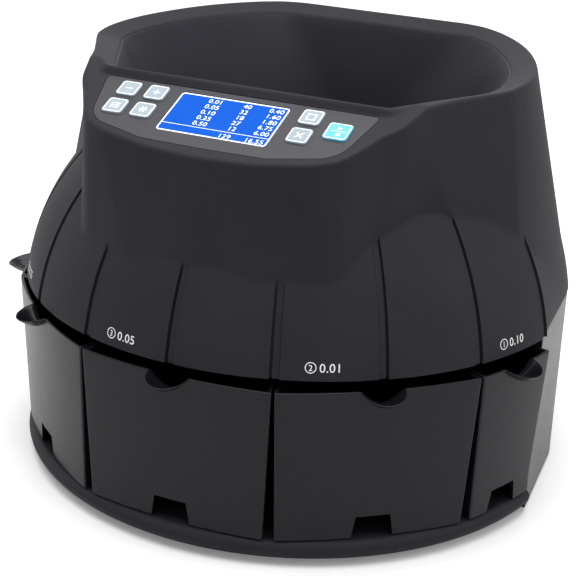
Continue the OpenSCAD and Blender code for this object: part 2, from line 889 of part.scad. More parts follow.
// Socket body behind the rear wall with a flange in front of it
module socket_body(x, w, h, proud) {
    translate([x - w / 2 + fit, rear_y - socket_depth, socket_z - h / 2 + fit])
        cube([w - 2 * fit, socket_depth + join, h - 2 * fit]);
    translate([x - w / 2 - flange_rim, rear_y, socket_z - h / 2 - flange_rim])
        cube([w + 2 * flange_rim, proud, h + 2 * flange_rim]);
}

// Hollow of a socket, open towards the rear
module socket_hollow(x, w, h, wall) {
    translate([x - w / 2 + wall, rear_y - inlet_depth, socket_z - h / 2 + wall])
        cube([w - 2 * wall, inlet_depth + 2 * bezel_proud, h - 2 * wall]);
}

module power_inlet() {
    color("#1a1a1c") {
        difference() {
            socket_body(inlet_x, inlet_w, inlet_h, flange_t);
            socket_hollow(inlet_x, inlet_w, inlet_h, inlet_wall);
        }
        for (i = [0:2])
            translate([inlet_x + (i - 1) * pin_pitch - pin_w / 2, rear_y - inlet_depth - join,
                       socket_z + pin_z[i]])
                cube([pin_w, inlet_depth - pin_short + join, pin_h]);
    }
}

module printer_port() {
    color("#1a1a1c") difference() {
        socket_body(port_x, port_w, port_w, flange_t);
        socket_hollow(port_x, port_w, port_w, port_wall);
    }
}

module switch_bezel() {
    color("#1a1a1c") difference() {
        socket_body(switch_x, switch_w, switch_h, bezel_proud);
        socket_hollow(switch_x, switch_w, switch_h, bezel_wall);
        translate([switch_x - switch_w, rocker_y, socket_z]) rotate([0, 90, 0])
            cylinder(r = rocker_pin_r + bearing_clear, h = 2 * switch_w, $fn = 32);
    }
}

// Rocker: a paddle with a hollow face on a cross pin, tilted to its off position
module power_rocker() {
    color("#a01f1f") translate([switch_x, rocker_y, socket_z]) rotate([rocker_tilt, 0, 0]) {
        translate([-rocker_w / 2, 0, 0]) rotate([90, 0, 90]) linear_extrude(rocker_w)
            polygon([[-rocker_back, -rocker_half_h / 2], [rocker_mid / 2, -rocker_half_h],
                     [rocker_edge, -rocker_half_h], [rocker_mid, 0], [rocker_edge, rocker_half_h],
                     [rocker_mid / 2, rocker_half_h], [-rocker_back, rocker_half_h / 2]]);
        translate([-switch_w / 2 + bezel_wall / 2, 0, 0]) rotate([0, 90, 0])
            cylinder(r = rocker_pin_r, h = switch_w - bezel_wall, $fn = 32);
    }
}

module deck_screws() {
    color(steel)
        for (p = concat(drum_bosses, rear_posts))
            translate([p[0], p[1], deck_top]) screw(screw_len);
}

module housing_screws() {
    color(steel) {
        for (a = dome_boss_angles)
            at_angle(a) translate([dome_boss_reach, 0, deck_z]) mirror([0, 0, 1]) screw(screw_len);
        for (a = rear_boss_angles)
            at_angle(a) translate([rear_boss_reach, 0, deck_z]) mirror([0, 0, 1]) screw(screw_len);
    }
}

module base_screws() {
    color(steel)
        for (p = concat(drum_bosses, rear_posts))
            translate([p[0], p[1], plate_low]) mirror([0, 0, 1]) screw(screw_len);
}

module motor_screws() {
    color(steel) {
        for (p = stands)
            translate([p[0], p[1], deck_top]) screw(screw_len);
        for (side = [-1, 1])
            translate([side * motor_screw_x, motor_y, motor_top + bracket_t]) screw(motor_screw_len);
    }
}

// Plan outline of a bin at one height: flat inner end, drafted sides and a curved front
function bin_side_point(r, half, gap) =
    [r * cos(half) + gap * sin(half), r * sin(half) - gap * cos(half)];
function bin_outline(half, corner, gap, inner) =
    let (end = bin_side_point(corner, half, gap),
         drop = bin_face_r - sqrt(pow(bin_face_r, 2) - pow(end[1], 2)),
         back = (inner - gap * sin(half)) / cos(half),
         start = bin_side_point(back, half, gap))
    concat([[start[0], -start[1]]],
        [for (i = [0:face_steps])
            let (y = end[1] * (2 * i / face_steps - 1))
            [end[0] + drop - bin_face_r + sqrt(pow(bin_face_r, 2) - pow(y, 2)), y]],
        [start]);

// Drafted block between two heights of a bin, moved in by a wall
function bin_share(z) = (bin_top - z) / (bin_top - bin_bottom);
module bin_slice(half, z, wall, inner) {
    translate([0, 0, z]) linear_extrude(0.5) polygon(bin_outline(half,
        bin_corner_r - bin_front_draft * bin_share(z) - wall,
        bin_gap + bin_side_draft * bin_share(z) + wall, inner));
}

module bin_block(half, low, high, wall, inner) {
    hull() {
        bin_slice(half, low, wall, inner);
        bin_slice(half, high - 0.5, wall, inner);
    }
}

module coin_bin(i) {
    half = bin_halves[i];
    mid = bin_face_mid(half);
    foot = mid - bin_front_draft;
    color(bin_black) at_angle(bin_angles[i]) {
        difference() {
            bin_block(half, bin_bottom, bin_top, 0, bin_inner);
            bin_block(half, bin_floor + bin_wall, bin_top + 1, bin_wall, bin_inner + bin_wall);
            bin_block(half, bin_bottom - 1, bin_floor, bin_wall, bin_inner - 5);
            translate([mid, 0, bin_top]) sphere(scoop_r);
            translate([foot + notch_cut / 2, 0, bin_bottom]) rotate([90, 0, -90]) linear_extrude(notch_cut)
                polygon([[-notch_low_w / 2, -1], [notch_low_w / 2, -1],
                         [notch_top_w / 2, notch_h], [-notch_top_w / 2, notch_h]]);
        }
        // Finger scoop: a quarter bowl in front of the notch with a sloping rim
        difference() {
            translate([mid, 0, bin_top]) sphere(scoop_out_r);
            translate([mid, 0, bin_top]) sphere(scoop_r);
            translate([mid - scoop_out_r - bin_wall / 2, -base_r / 2, 0]) cube([scoop_out_r, base_r, base_r]);
            translate([mid, 0, bin_top]) rotate([0, scoop_slope, 0])
                translate([-base_r / 2, -base_r / 2, 0]) cube(base_r);
        }
    }
}

// Straight-sided gear, teeth narrow enough to run free
module toothed_wheel(teeth, phase) {
    pitch_r = gear_module * teeth / 2;
    step = 360 / teeth;
    root_r = pitch_r - tooth_in * gear_module;
    tip_r = pitch_r + tooth_out * gear_module;
    tooth = [[root_r, -root_half], [tip_r, -tip_half], [tip_r, tip_half], [root_r, root_half]];
    rotate([0, 0, phase]) linear_extrude(gear_t)
        polygon([for (i = [0:teeth - 1], p = tooth)
            p[0] * [cos((i + p[1]) * step), sin((i + p[1]) * step)]]);
}

module disc_gear() {
    color("#d8d4c6") translate([0, 0, gear_low]) difference() {
        union() {
            toothed_wheel(gear_teeth, gear_phase);
            cylinder(r = gear_hub_r, h = bearing_low - fit - gear_low);
        }
        translate([0, 0, -1]) cylinder(r = spindle_r, h = bearing_low - gear_low + 2);
    }
}

module motor_pinion() {
    color("#d8d4c6") translate([0, motor_y, 0]) {
        translate([0, 0, gear_low]) toothed_wheel(pinion_teeth, pinion_phase);
        translate([0, 0, motor_top - shaft_depth])
            cylinder(r = motor_shaft_r, h = gear_low - motor_top + shaft_depth + join, $fn = 48);
    }
}

// Shaft from the gear up into the cap
module spindle() {
    color(steel) translate([0, 0, gear_low]) cylinder(r = spindle_r, h = disc_top - gear_low + cap_bore);
}

module coin_disc() {
    color("#a9acb0") difference() {
        union() {
            translate([0, 0, disc_low]) cylinder(r = disc_r, h = disc_t);
            for (i = [0:disc_ribs - 1])
                rotate([0, 0, i * 360 / disc_ribs]) translate([hub_r, -rib_w / 2, disc_top - join])
                    cube([disc_r - hub_r - rib_margin, rib_w, rib_h + join]);
        }
        translate([0, 0, disc_low - 1]) cylinder(r = spindle_r, h = disc_t + rib_h + 2);
    }
}

module disc_cap() {
    color("#8f9296") difference() {
        translate([0, 0, disc_top]) rotate_extrude()
            polygon([[0, 0], [cap_r, 0], [cap_r, cap_skirt], [cap_top_r, cap_h], [0, cap_h]]);
        translate([0, 0, disc_top - 1]) cylinder(r = spindle_r, h = cap_bore + 1);
    }
}

placed() base_tray();
placed() rubber_feet();
placed() core_drum();
placed() rear_housing();
placed() sorting_deck();
placed() dome_cover();
placed() hopper_tower();
placed() hopper_bowl();
placed() panel_fascia();
placed() lcd_window();
placed() lcd_module();
placed() keypad_board();
placed() key_switches();
placed() main_board();
placed() power_transformer();
placed() drive_motor();
placed() motor_bracket();
placed() spindle_bearing();
placed() sorting_rail();
placed() coin_sensor();
placed() power_inlet();
placed() switch_bezel();
placed() printer_port();
placed() deck_screws();
placed() housing_screws();
placed() base_screws();
placed() motor_screws();
placed() coin_bin(0);  // coin_bin_1
placed() coin_bin(1);  // coin_bin_2
placed() coin_bin(2);  // coin_bin_3
placed() coin_bin(3);  // coin_bin_4
placed() coin_bin(4);  // coin_bin_5
placed() key_cap(key_places[0], key_grey);  // key_minus
placed() key_cap(key_places[1], key_grey);  // key_plus
placed() key_cap(key_places[2], key_grey);  // key_batch
placed() key_cap(key_places[3], key_grey);  // key_set
placed() key_cap(key_places[4], key_grey);  // key_print
placed() key_cap(key_places[5], key_grey);  // key_clear
placed() key_cap(key_places[6], "#82d7eb");  // key_start
placed() coin_disc();
placed() disc_cap();
placed() spindle();
placed() disc_gear();
placed() motor_pinion();
placed() power_rocker();
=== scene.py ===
import math

import bmesh
import bpy
import numpy as np
from mathutils import Matrix, Vector


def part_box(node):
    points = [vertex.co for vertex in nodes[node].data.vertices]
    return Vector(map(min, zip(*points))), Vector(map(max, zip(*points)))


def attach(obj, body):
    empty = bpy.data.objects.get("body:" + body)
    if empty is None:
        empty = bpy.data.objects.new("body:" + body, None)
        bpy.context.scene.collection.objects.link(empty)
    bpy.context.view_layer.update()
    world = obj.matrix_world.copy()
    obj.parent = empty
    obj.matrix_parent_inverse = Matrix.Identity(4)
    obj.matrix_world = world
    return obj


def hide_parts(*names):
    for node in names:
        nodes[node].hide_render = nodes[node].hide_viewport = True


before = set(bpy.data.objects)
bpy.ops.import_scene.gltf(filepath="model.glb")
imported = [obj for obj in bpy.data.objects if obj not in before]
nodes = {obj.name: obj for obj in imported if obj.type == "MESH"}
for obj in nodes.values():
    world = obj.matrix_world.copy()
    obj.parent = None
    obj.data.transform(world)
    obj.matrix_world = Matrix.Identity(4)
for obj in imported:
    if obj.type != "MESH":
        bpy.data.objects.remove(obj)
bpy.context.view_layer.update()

# Studio: a pale floor, a white surround and soft boxes above and beside the machine. The camera
# stands in front of it, to the right and above, and is rolled slightly, as in the photograph.
mm = 0.001
camera_place = Vector((365.743, -808.077, 455.002)) * mm
camera_target = Vector((24.458, -54.545, 130.0)) * mm
camera_roll = math.radians(2.382)
camera_lens = 95.757
floor_size = 8.0
floor_glow = 0.15
floor_far_glow = 0.55
floor_near = 0.3
floor_far = 1.0
floor_lift = 0.2
paper_cloud = 40 * mm
surround_level = 0.4
lamp_target = Vector((0, 0, 0.15))
scene = bpy.context.scene
scene.view_settings.view_transform = "Standard"


def linear(code):
    """An sRGB hex colour as the linear values of a shader socket."""
    values = [int(code[i:i + 2], 16) / 255 for i in (1, 3, 5)]
    return tuple(v / 12.92 if v <= 0.04045 else ((v + 0.055) / 1.055) ** 2.4 for v in values) + (1.0,)


def add_node(tree, kind, settings=(), links=()):
    """Adds a node, sets its inputs or properties, and links outputs to its inputs."""
    node = tree.nodes.new(kind)
    for name, value in dict(settings).items():
        if isinstance(name, int) or name in node.inputs:
            node.inputs[name].default_value = value
        else:
            setattr(node, name, value)
    for name, output in dict(links).items():
        tree.links.new(output, node.inputs[name])
    return node


camera_data = bpy.data.cameras.new("camera")
camera_data.lens = camera_lens
camera_data.sensor_width = 36
camera_data.clip_start = 0.05
camera = bpy.data.objects.new("camera", camera_data)
camera_aim = (camera_target - camera_place).to_track_quat("-Z", "Y").to_matrix().to_4x4()
camera.matrix_world = Matrix.Translation(camera_place) @ camera_aim @ Matrix.Rotation(camera_roll, 4, "Z")
scene.collection.objects.link(camera)
scene.camera = camera

world = bpy.data.worlds.new("white_surround")
world.use_nodes = True
scene.world = world
sky = world.node_tree
sky_light = sky.nodes["Background"]
sky_light.inputs["Color"].default_value = linear("#ffffff")
sky_light.inputs["Strength"].default_value = surround_level
sky_seen = add_node(sky, "ShaderNodeBackground", {"Color": linear("#ffffff"), "Strength": 1.0})
sky_path = add_node(sky, "ShaderNodeLightPath")
sky_mirror = add_node(
    sky, "ShaderNodeMath", {"operation": "MAXIMUM"},
    {0: sky_path.outputs["Is Camera Ray"], 1: sky_path.outputs["Is Glossy Ray"]})
sky_shown = add_node(
    sky, "ShaderNodeMath", {"operation": "MAXIMUM"},
    {0: sky_mirror.outputs[0], 1: sky_path.outputs["Is Transmission Ray"]})
sky_mix = add_node(
    sky, "ShaderNodeMixShader", {},
    {0: sky_shown.outputs[0], 1: sky_light.outputs[0], 2: sky_seen.outputs[0]})
sky.links.new(sky_mix.outputs[0], sky.nodes["World Output"].inputs["Surface"])

# White paper: to the camera it is lifted a little, and has painted light that grows the further it lies
# from the machine, so that the floor close round the machine is left darker as painted shade
floor_paper = bpy.data.materials.new("floor_paper")
floor_paper.use_nodes = True
paper = floor_paper.node_tree
paper.nodes.remove(paper.nodes["Principled BSDF"])
paper_path = add_node(paper, "ShaderNodeLightPath")
paper_place = add_node(paper, "ShaderNodeTexCoord")
# Painted light and shade on the floor: a camera-only glow, faint within floor_near of the machine and full
# beyond floor_far
paper_away = add_node(
    paper, "ShaderNodeVectorMath", {"operation": "LENGTH"}, {0: paper_place.outputs["Object"]})
paper_painted_glow = add_node(
    paper, "ShaderNodeMapRange",
    {"From Min": floor_near, "From Max": floor_far, "To Min": floor_glow, "To Max": floor_far_glow},
    {"Value": paper_away.outputs["Value"]})
paper_glow = add_node(
    paper, "ShaderNodeMath", {"operation": "MULTIPLY"},
    {0: paper_path.outputs["Is Camera Ray"], 1: paper_painted_glow.outputs["Result"]})
paper_light = add_node(
    paper, "ShaderNodeEmission", {"Color": linear("#ffffff")}, {"Strength": paper_glow.outputs[0]})
paper_grain = add_node(paper, "ShaderNodeTexNoise", {"Scale": 1 / paper_cloud, "Detail": 4.0})
paper_tone = add_node(paper, "ShaderNodeValToRGB", {}, {"Fac": paper_grain.outputs["Fac"]})
paper_tone.color_ramp.elements[0].color = linear("#f1f1f1")
paper_tone.color_ramp.elements[1].color = linear("#f4f4f4")
paper_matt = add_node(paper, "ShaderNodeBsdfDiffuse", {}, {"Color": paper_tone.outputs["Color"]})
paper_lift = add_node(
    paper, "ShaderNodeMath", {"operation": "MULTIPLY", 1: floor_lift},
    {0: paper_path.outputs["Is Camera Ray"]})
paper_pale = add_node(paper, "ShaderNodeBsdfDiffuse", {}, {"Color": paper_lift.outputs[0]})
paper_seen = add_node(
    paper, "ShaderNodeAddShader", {}, {0: paper_pale.outputs[0], 1: paper_light.outputs[0]})
paper_sum = add_node(
    paper, "ShaderNodeAddShader", {}, {0: paper_matt.outputs[0], 1: paper_seen.outputs[0]})
paper.links.new(paper_sum.outputs[0], paper.nodes["Material Output"].inputs["Surface"])

floor_bm = bmesh.new()
bmesh.ops.create_grid(floor_bm, x_segments=1, y_segments=1, size=floor_size / 2)
floor_mesh = bpy.data.meshes.new("floor")
floor_bm.to_mesh(floor_mesh)
floor_bm.free()
floor_mesh.materials.append(floor_paper)
floor = bpy.data.objects.new("floor", floor_mesh)
scene.collection.objects.link(floor)

for box_name, box_place, box_size, box_power in (
        ("top_box", (0.02, -0.12, 1.35), (1.3, 1.3), 19.0),
        ("left_box", (-1.15, -0.15, 0.55), (0.5, 1.1), 0.8),
        ("right_box", (1.2, 0.1, 0.6), (0.5, 1.1), 2.2)):
    lamp = bpy.data.lights.new(box_name, "AREA")
    lamp.shape = "RECTANGLE"
    lamp.size, lamp.size_y = box_size
    lamp.energy = box_power
    lamp_object = bpy.data.objects.new(box_name, lamp)
    lamp_aim = (lamp_target - Vector(box_place)).to_track_quat("-Z", "Y").to_matrix().to_4x4()
    lamp_object.matrix_world = Matrix.Translation(box_place) @ lamp_aim
    scene.collection.objects.link(lamp_object)

# Base tray: one round ABS moulding with a rounded rim, which carries the bins and the drum.
# Charcoal, spark-eroded to a fine matt grain, so that it shines softly and evenly.
cloud_size = 45 * mm
sheen_spread = 0.05
plastic_ior = 1.53
weld_gap = 0.002 * mm
flat_angle = math.radians(0.3)
sharp_angle = math.radians(42)
base_rim_round = 5.0 * mm
base_rim_wide = 9.0 * mm
rim_slack = 0.2 * mm
rim_top_slack = 0.1 * mm
disc_low, disc_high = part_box("coin_disc")
axis_y = (disc_low[1] + disc_high[1]) / 2


def new_material(name):
    """A material with its node tree, its shader and the coordinates that its patterns read."""
    material = bpy.data.materials.new(name)
    material.use_nodes = True
    tree = material.node_tree
    place = add_node(tree, "ShaderNodeTexCoord")
    return material, tree, tree.nodes["Principled BSDF"], place.outputs["Object"]


def moulded_plastic(name, colour, pale, roughness, gloss, grain, depth):
    """Moulded plastic: a fine grain from the mould, and slow changes of tone and sheen over it."""
    material, tree, shader, place = new_material(name)
    cloud = add_node(
        tree, "ShaderNodeTexNoise", {"Scale": 1 / cloud_size, "Detail": 3.0}, {"Vector": place})
    tone = add_node(tree, "ShaderNodeValToRGB", {}, {"Fac": cloud.outputs["Fac"]})
    tone.color_ramp.elements[0].position = 0.3
    tone.color_ramp.elements[0].color = linear(colour)
    tone.color_ramp.elements[1].position = 0.75
    tone.color_ramp.elements[1].color = linear(pale)
    tree.links.new(tone.outputs["Color"], shader.inputs["Base Color"])
    sheen = add_node(
        tree, "ShaderNodeMapRange",
        {"To Min": roughness - sheen_spread, "To Max": roughness + sheen_spread},
        {"Value": cloud.outputs["Fac"]})
    tree.links.new(sheen.outputs["Result"], shader.inputs["Roughness"])
    mould = add_node(
        tree, "ShaderNodeTexNoise", {"Scale": 1 / (grain * mm), "Detail": 2.0, "Roughness": 0.6},
        {"Vector": place})
    bump = add_node(
        tree, "ShaderNodeBump", {"Strength": 0.5, "Distance": depth * mm},
        {"Height": mould.outputs["Fac"]})
    tree.links.new(bump.outputs["Normal"], shader.inputs["Normal"])
    shader.inputs["IOR"].default_value = plastic_ior
    shader.inputs["Specular IOR Level"].default_value = gloss
    return material


# Grain of about 0.1 mm is too fine to show, so this plastic has it at 1.4 mm, the others at 0.8 to 3 mm
charcoal_abs = moulded_plastic("charcoal_matt_abs", "#222127", "#27262c", 0.54, 0.14, 1.4, 0.03)


def off_axis(vert):
    """Distance of a vertex from the disc's axis."""
    return math.hypot(vert.co.x, vert.co.y - axis_y)


def merged(node_name):
    """A copy of a CAD node's mesh with its loose triangles merged."""
    bm = bmesh.new()
    bm.from_mesh(nodes[node_name].data)
    bmesh.ops.remove_doubles(bm, verts=bm.verts[:], dist=weld_gap)
    return bm


def rounded(bm, edges, width, segments, slide=False):
    """Rounds edges of a mesh."""
    bmesh.ops.bevel(
        bm, geom=edges, offset=width, offset_type="OFFSET", affect="EDGES", segments=segments, profile=0.5,
        material=-1, loop_slide=slide)


def finished(name, bm, material, slot_name, body, *replaced):
    """Makes a piece of a bmesh: smooth faces, its material, and what it rides on and stands for."""
    mesh = bpy.data.meshes.new(name)
    bm.to_mesh(mesh)
    bm.free()
    mesh.materials.append(material)
    mesh.shade_smooth()
    mesh.set_sharp_from_angle(angle=sharp_angle)
    piece = bpy.data.objects.new(name, mesh)
    scene.collection.objects.link(piece)
    even = piece.modifiers.new("even_normals", "WEIGHTED_NORMAL")
    even.keep_sharp = True
    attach(piece, body)
    if replaced:
        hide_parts(*replaced)
    return piece


base_bm = merged("base_tray")
base_reach = max(off_axis(v) for v in base_bm.verts)
rim_verts = {v for v in base_bm.verts if off_axis(v) > base_reach - base_rim_wide - rim_slack}
rim_top = max(v.co.z for v in rim_verts)
rim_edges = [e for e in base_bm.edges if rim_verts.issuperset(e.verts)]
bmesh.ops.dissolve_limit(
    base_bm, angle_limit=flat_angle, use_dissolve_boundaries=False, verts=[], edges=rim_edges)
rim_corner = [
    e for e in base_bm.edges
    if all(off_axis(v) > base_reach - rim_slack and v.co.z > rim_top - rim_top_slack for v in e.verts)]
rounded(base_bm, rim_corner, base_rim_round, segments=8)
finished("base_moulding", base_bm, charcoal_abs, "housing_abs", "chassis", "base_tray")

# Rubber feet: four moulded discs of black rubber under the tray, pressed on.
# Dull and slightly pitted, so they hardly shine.


def dress(material, *names):
    """Gives CAD nodes that keep their own shape a finish."""
    for name in names:
        for place in nodes[name].material_slots:
            place.material = material


foot_rubber = moulded_plastic("black_foot_rubber", "#141414", "#1b1b1b", 0.75, 0.2, 0.8, 0.05)
dress(foot_rubber, "rubber_feet")

# Core drum: a round ABS tub in the middle of the tray that carries the deck over the drive.
# Same matt charcoal moulding as the tray, held by screws from below.
dress(charcoal_abs, "core_drum")

# Circuit boards: green solder mask over copper tracks on glass-epoxy sheet, on plastic posts.
# The main board stands behind the drum; the keypad and display boards hang under the panel.
# Copper areas are drawn at 9 mm, because single tracks are too fine to show.
copper_pitch = 9 * mm
copper_high = 0.05 * mm
board_green, board_tree, board_shader, board_place = new_material("green_solder_mask")
board_copper = add_node(
    board_tree, "ShaderNodeTexBrick",
    {"Scale": 1 / copper_pitch, "Color1": linear("#14512f"), "Color2": linear("#175a35"),
     "Mortar": linear("#237548"), "Mortar Size": 0.06, "Bias": -0.3},
    {"Vector": board_place})
board_tree.links.new(board_copper.outputs["Color"], board_shader.inputs["Base Color"])
board_bump = add_node(
    board_tree, "ShaderNodeBump", {"Strength": 0.4, "Distance": copper_high, "invert": True},
    {"Height": board_copper.outputs["Fac"]})
board_tree.links.new(board_bump.outputs["Normal"], board_shader.inputs["Normal"])
board_shader.inputs["Roughness"].default_value = 0.35
dress(board_green, "main_board", "keypad_board", "lcd_module")
switch_black = moulded_plastic("tact_switch_black", "#151515", "#1c1c1c", 0.45, 0.4, 1.0, 0.02)
dress(switch_black, "key_switches")

# Transformer: a stack of varnished core plates, screwed down beside the main board.
# Dark grey steel with fine lines where the plates meet, drawn at 1 mm for plates of about 0.5 mm.
polish_patch = 18 * mm
polish_spread = 0.08
# The wave node repeats after 2 pi / 20 of its own units
wave_unit = 2 * math.pi / 20


def worked_metal(name, colour, pale, roughness, pattern, pitch, depth):
    """Bare metal: tool marks or plate lines at a pitch, in rings round the disc's axis or in bands."""
    material, tree, shader, place = new_material(name)
    centred = add_node(tree, "ShaderNodeMapping", {"Location": (0, -axis_y, 0)}, {"Vector": place})
    marks = add_node(
        tree, "ShaderNodeTexWave",
        {"wave_type": pattern, "bands_direction": "Z", "rings_direction": "Z",
         "Scale": wave_unit / (pitch * mm), "Distortion": 0.6, "Detail": 2.0, "Detail Scale": 1.5},
        {"Vector": centred.outputs["Vector"]})
    tone = add_node(tree, "ShaderNodeValToRGB", {}, {"Fac": marks.outputs["Fac"]})
    tone.color_ramp.elements[0].color = linear(colour)
    tone.color_ramp.elements[1].color = linear(pale)
    tree.links.new(tone.outputs["Color"], shader.inputs["Base Color"])
    cloud = add_node(
        tree, "ShaderNodeTexNoise", {"Scale": 1 / polish_patch, "Detail": 4.0}, {"Vector": place})
    polish = add_node(
        tree, "ShaderNodeMapRange",
        {"To Min": roughness - polish_spread, "To Max": roughness + polish_spread},
        {"Value": cloud.outputs["Fac"]})
    tree.links.new(polish.outputs["Result"], shader.inputs["Roughness"])
    bump = add_node(
        tree, "ShaderNodeBump", {"Strength": 0.4, "Distance": depth * mm}, {"Height": marks.outputs["Fac"]})
    tree.links.new(bump.outputs["Normal"], shader.inputs["Normal"])
    shader.inputs["Metallic"].default_value = 1.0
    return material


core_steel = worked_metal("varnished_core_steel", "#3d3a38", "#5a5653", 0.5, "BANDS", 1.0, 0.05)
dress(core_steel, "power_transformer")

# Sockets and mains switch: black glass-filled plastic bodies clipped into the rear housing.
# The rocker is smoother and glossier than the frames around it.
socket_black = moulded_plastic("socket_black_pbt", "#121212", "#191919", 0.5, 0.35, 0.9, 0.02)
dress(socket_black, "power_inlet", "switch_bezel", "printer_port")
rocker_black = moulded_plastic("rocker_gloss_black", "#0f0f11", "#151517", 0.2, 0.5, 3.0, 0.006)
dress(rocker_black, "power_rocker")

# Rear housing: the fixed ABS wall behind the end bins, with vents and the socket openings.
# Black and smoother than the dome, like the bins beside it; screwed to the tray from below.
rear_edge = 0.5 * mm
rear_edge_angle = math.radians(40)
smooth_black_abs = moulded_plastic("smooth_black_abs", "#131218", "#16151b", 0.27, 0.23, 2.2, 0.008)
rear_bm = merged("rear_housing")
bmesh.ops.dissolve_limit(
    rear_bm, angle_limit=flat_angle, use_dissolve_boundaries=False, verts=rear_bm.verts[:],
    edges=rear_bm.edges[:])
rear_edges = [e for e in rear_bm.edges if e.is_manifold and e.calc_face_angle(0) > rear_edge_angle]
rounded(rear_bm, rear_edges, rear_edge, segments=3, slide=True)
bmesh.ops.dissolve_degenerate(rear_bm, edges=rear_bm.edges[:], dist=weld_gap)
finished("rear_moulding", rear_bm, smooth_black_abs, "housing_abs", "chassis", "rear_housing")

# Sorting deck and rail: an aluminium plate turned flat, with a slot over each bin, and the steel guide
# ring round the disc. The sensor stands on the deck in a black plastic case.
# Tool marks of about 0.2 mm are too fine to show, so the metals have them at 0.8 to 2.5 mm.
turned_aluminium = worked_metal("turned_aluminium", "#6e7073", "#86888b", 0.42, "RINGS", 1.2, 0.02)
zinc_steel = worked_metal("zinc_plated_steel", "#8f9398", "#abaeb2", 0.38, "BANDS", 2.5, 0.01)
dress(turned_aluminium, "sorting_deck")
dress(zinc_steel, "sorting_rail", "deck_screws", "housing_screws", "base_screws")
dress(socket_black, "coin_sensor")

# Disc and drive: the disc, its cap and a big nylon gear turn on one steel spindle in a bronze bush.
# A geared motor hangs from a zinc bracket under the deck, and its pinion turns the gear.
ground_steel = worked_metal("ground_steel", "#77797c", "#95979a", 0.28, "RINGS", 0.8, 0.01)
sintered_bronze = worked_metal("sintered_bronze", "#7d5c35", "#95713f", 0.45, "RINGS", 0.9, 0.03)
gear_nylon = moulded_plastic("natural_nylon", "#cfc9b6", "#d8d3c2", 0.45, 0.4, 1.2, 0.02)
dress(turned_aluminium, "coin_disc")
dress(socket_black, "disc_cap")
dress(ground_steel, "spindle")
dress(sintered_bronze, "spindle_bearing")
dress(gear_nylon, "disc_gear", "motor_pinion")
dress(zinc_steel, "drive_motor", "motor_bracket", "motor_screws")

# Sorter bins: five wedge drawers of black ABS with a finger scoop and a notch over the tray's block.
# Each wall is drawn from ring to ring; the scoop is a shallow bowl that runs out of the top edge.
petal = 19.76
# Middle of each bin and half its width, in petals of the dome above
bin_spots = ((3.5, 0.5), (2, 1), (0, 1), (-2, 1), (-3.5, 0.5))
bin_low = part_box("coin_bin_3")[0][2] / mm
bin_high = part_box("coin_bin_3")[1][2] / mm
bin_drop = 3.0
bin_top = bin_high - bin_drop
bin_corner = 175.5
bin_face = 270.0
bin_front_draft = 4.5
bin_gap = 0.5
bin_side_draft = 2.6
bin_inner = 87.0
bin_wall = 2.2
bin_floor_rise = 18.0
bin_floor = bin_low + bin_floor_rise
bin_edge = 0.7
bin_round = 1.4
front_points = 14
corner_steps = (0.25, 0.5, 0.75, 1)
side_steps = (0.33, 0.67, 1)
wall_levels = 7
scoop_half = 12.6
scoop_stretch = 1.06
scoop_deep = 8.5
scoop_wall = 1.0
scoop_taper = 0.55
scoop_fall = math.tan(math.radians(12))
scoop_turns = np.radians(np.linspace(0, 90, 13))
scoop_edge = 0.4
scoop_hollow = 0.9
# Levels of the scoop, in shares of its depth: the plain wall ends, the tip closes, then up the bowl
scoop_clear = 1.3
scoop_under = 1.03
scoop_steps = (0.999, 0.98, 0.93, 0.85, 0.74, 0.6, 0.44, 0.28, 0.14)
scoop_tip = 0.25
sill_gap = 0.4
# Rounded edge, in shares of its radius: how far down and how far in
edge_steps = ((1, 0), (0.6, 0.08), (0.3, 0.3), (0.08, 0.6), (0, 1))
notch_low, notch_top, notch_high, notch_deep = 25.0, 20.0, 14.0, 20.0
notch_under = 1.0


def scoop_radius(drop):
    """Half width of the scoop's shallow bowl at a depth under its rim."""
    return scoop_half * (1 - drop / scoop_deep) ** scoop_taper


def bent(start, corner, end, t):
    """A point on the curve from start to end that bends towards a corner."""
    return (1 - t) ** 2 * start + 2 * t * (1 - t) * corner + t ** 2 * end


def bin_ring(half, z, inset, scoop=None, spread=scoop_half):
    """One level of a bin's wall as points (across, outwards, height), with its share of the scoop."""
    share = (bin_high - z) / (bin_high - bin_low)
    corner = bin_corner - bin_front_draft * share - inset
    gap = bin_gap + bin_side_draft * share + inset
    end_v = corner * math.sin(half) - gap * math.cos(half)
    end_u = corner * math.cos(half) + gap * math.sin(half)
    back_v = ((bin_inner + inset) * math.sin(half) - gap) / math.cos(half)
    back = np.array((back_v, bin_inner + inset, z))

    def on_face(v, depth=0.0):
        """A point of the curved front."""
        flat = end_u - math.sqrt(bin_face ** 2 - end_v ** 2) + math.sqrt(bin_face ** 2 - v ** 2)
        return np.array((v, flat + depth, z))

    if scoop:
        scoop_wide, scoop_z = scoop
        bowl = [
            on_face(scoop_wide * math.sin(t), inset + scoop_stretch * scoop_wide * math.cos(t))
            for t in scoop_turns]
        for point, t in zip(bowl, scoop_turns):
            point[2] = scoop_z - scoop_fall * scoop_stretch * scoop_wide * math.cos(t)
    else:
        scoop_wide = spread
        bowl = [on_face(scoop_wide * math.sin(t)) for t in scoop_turns]
    front = [on_face(v) for v in np.linspace(scoop_wide + sill_gap, end_v - bin_round, front_points)]
    tip = on_face(end_v)
    to_side = tip + (back - tip) * bin_round / np.linalg.norm(back - tip)
    turn = [bent(front[-1], tip, to_side, t) for t in corner_steps]
    side = [to_side + (back - to_side) * t for t in side_steps]
    right = bowl + front + turn + side
    left = [point * (-1, 1, 1) for point in right[:0:-1]]
    return [Vector((v, -u, z)) * mm for v, u, z in right + left]


def verts_of(geometry):
    """The vertices among what an operator gives back."""
    return [g for g in geometry if isinstance(g, bmesh.types.BMVert)]


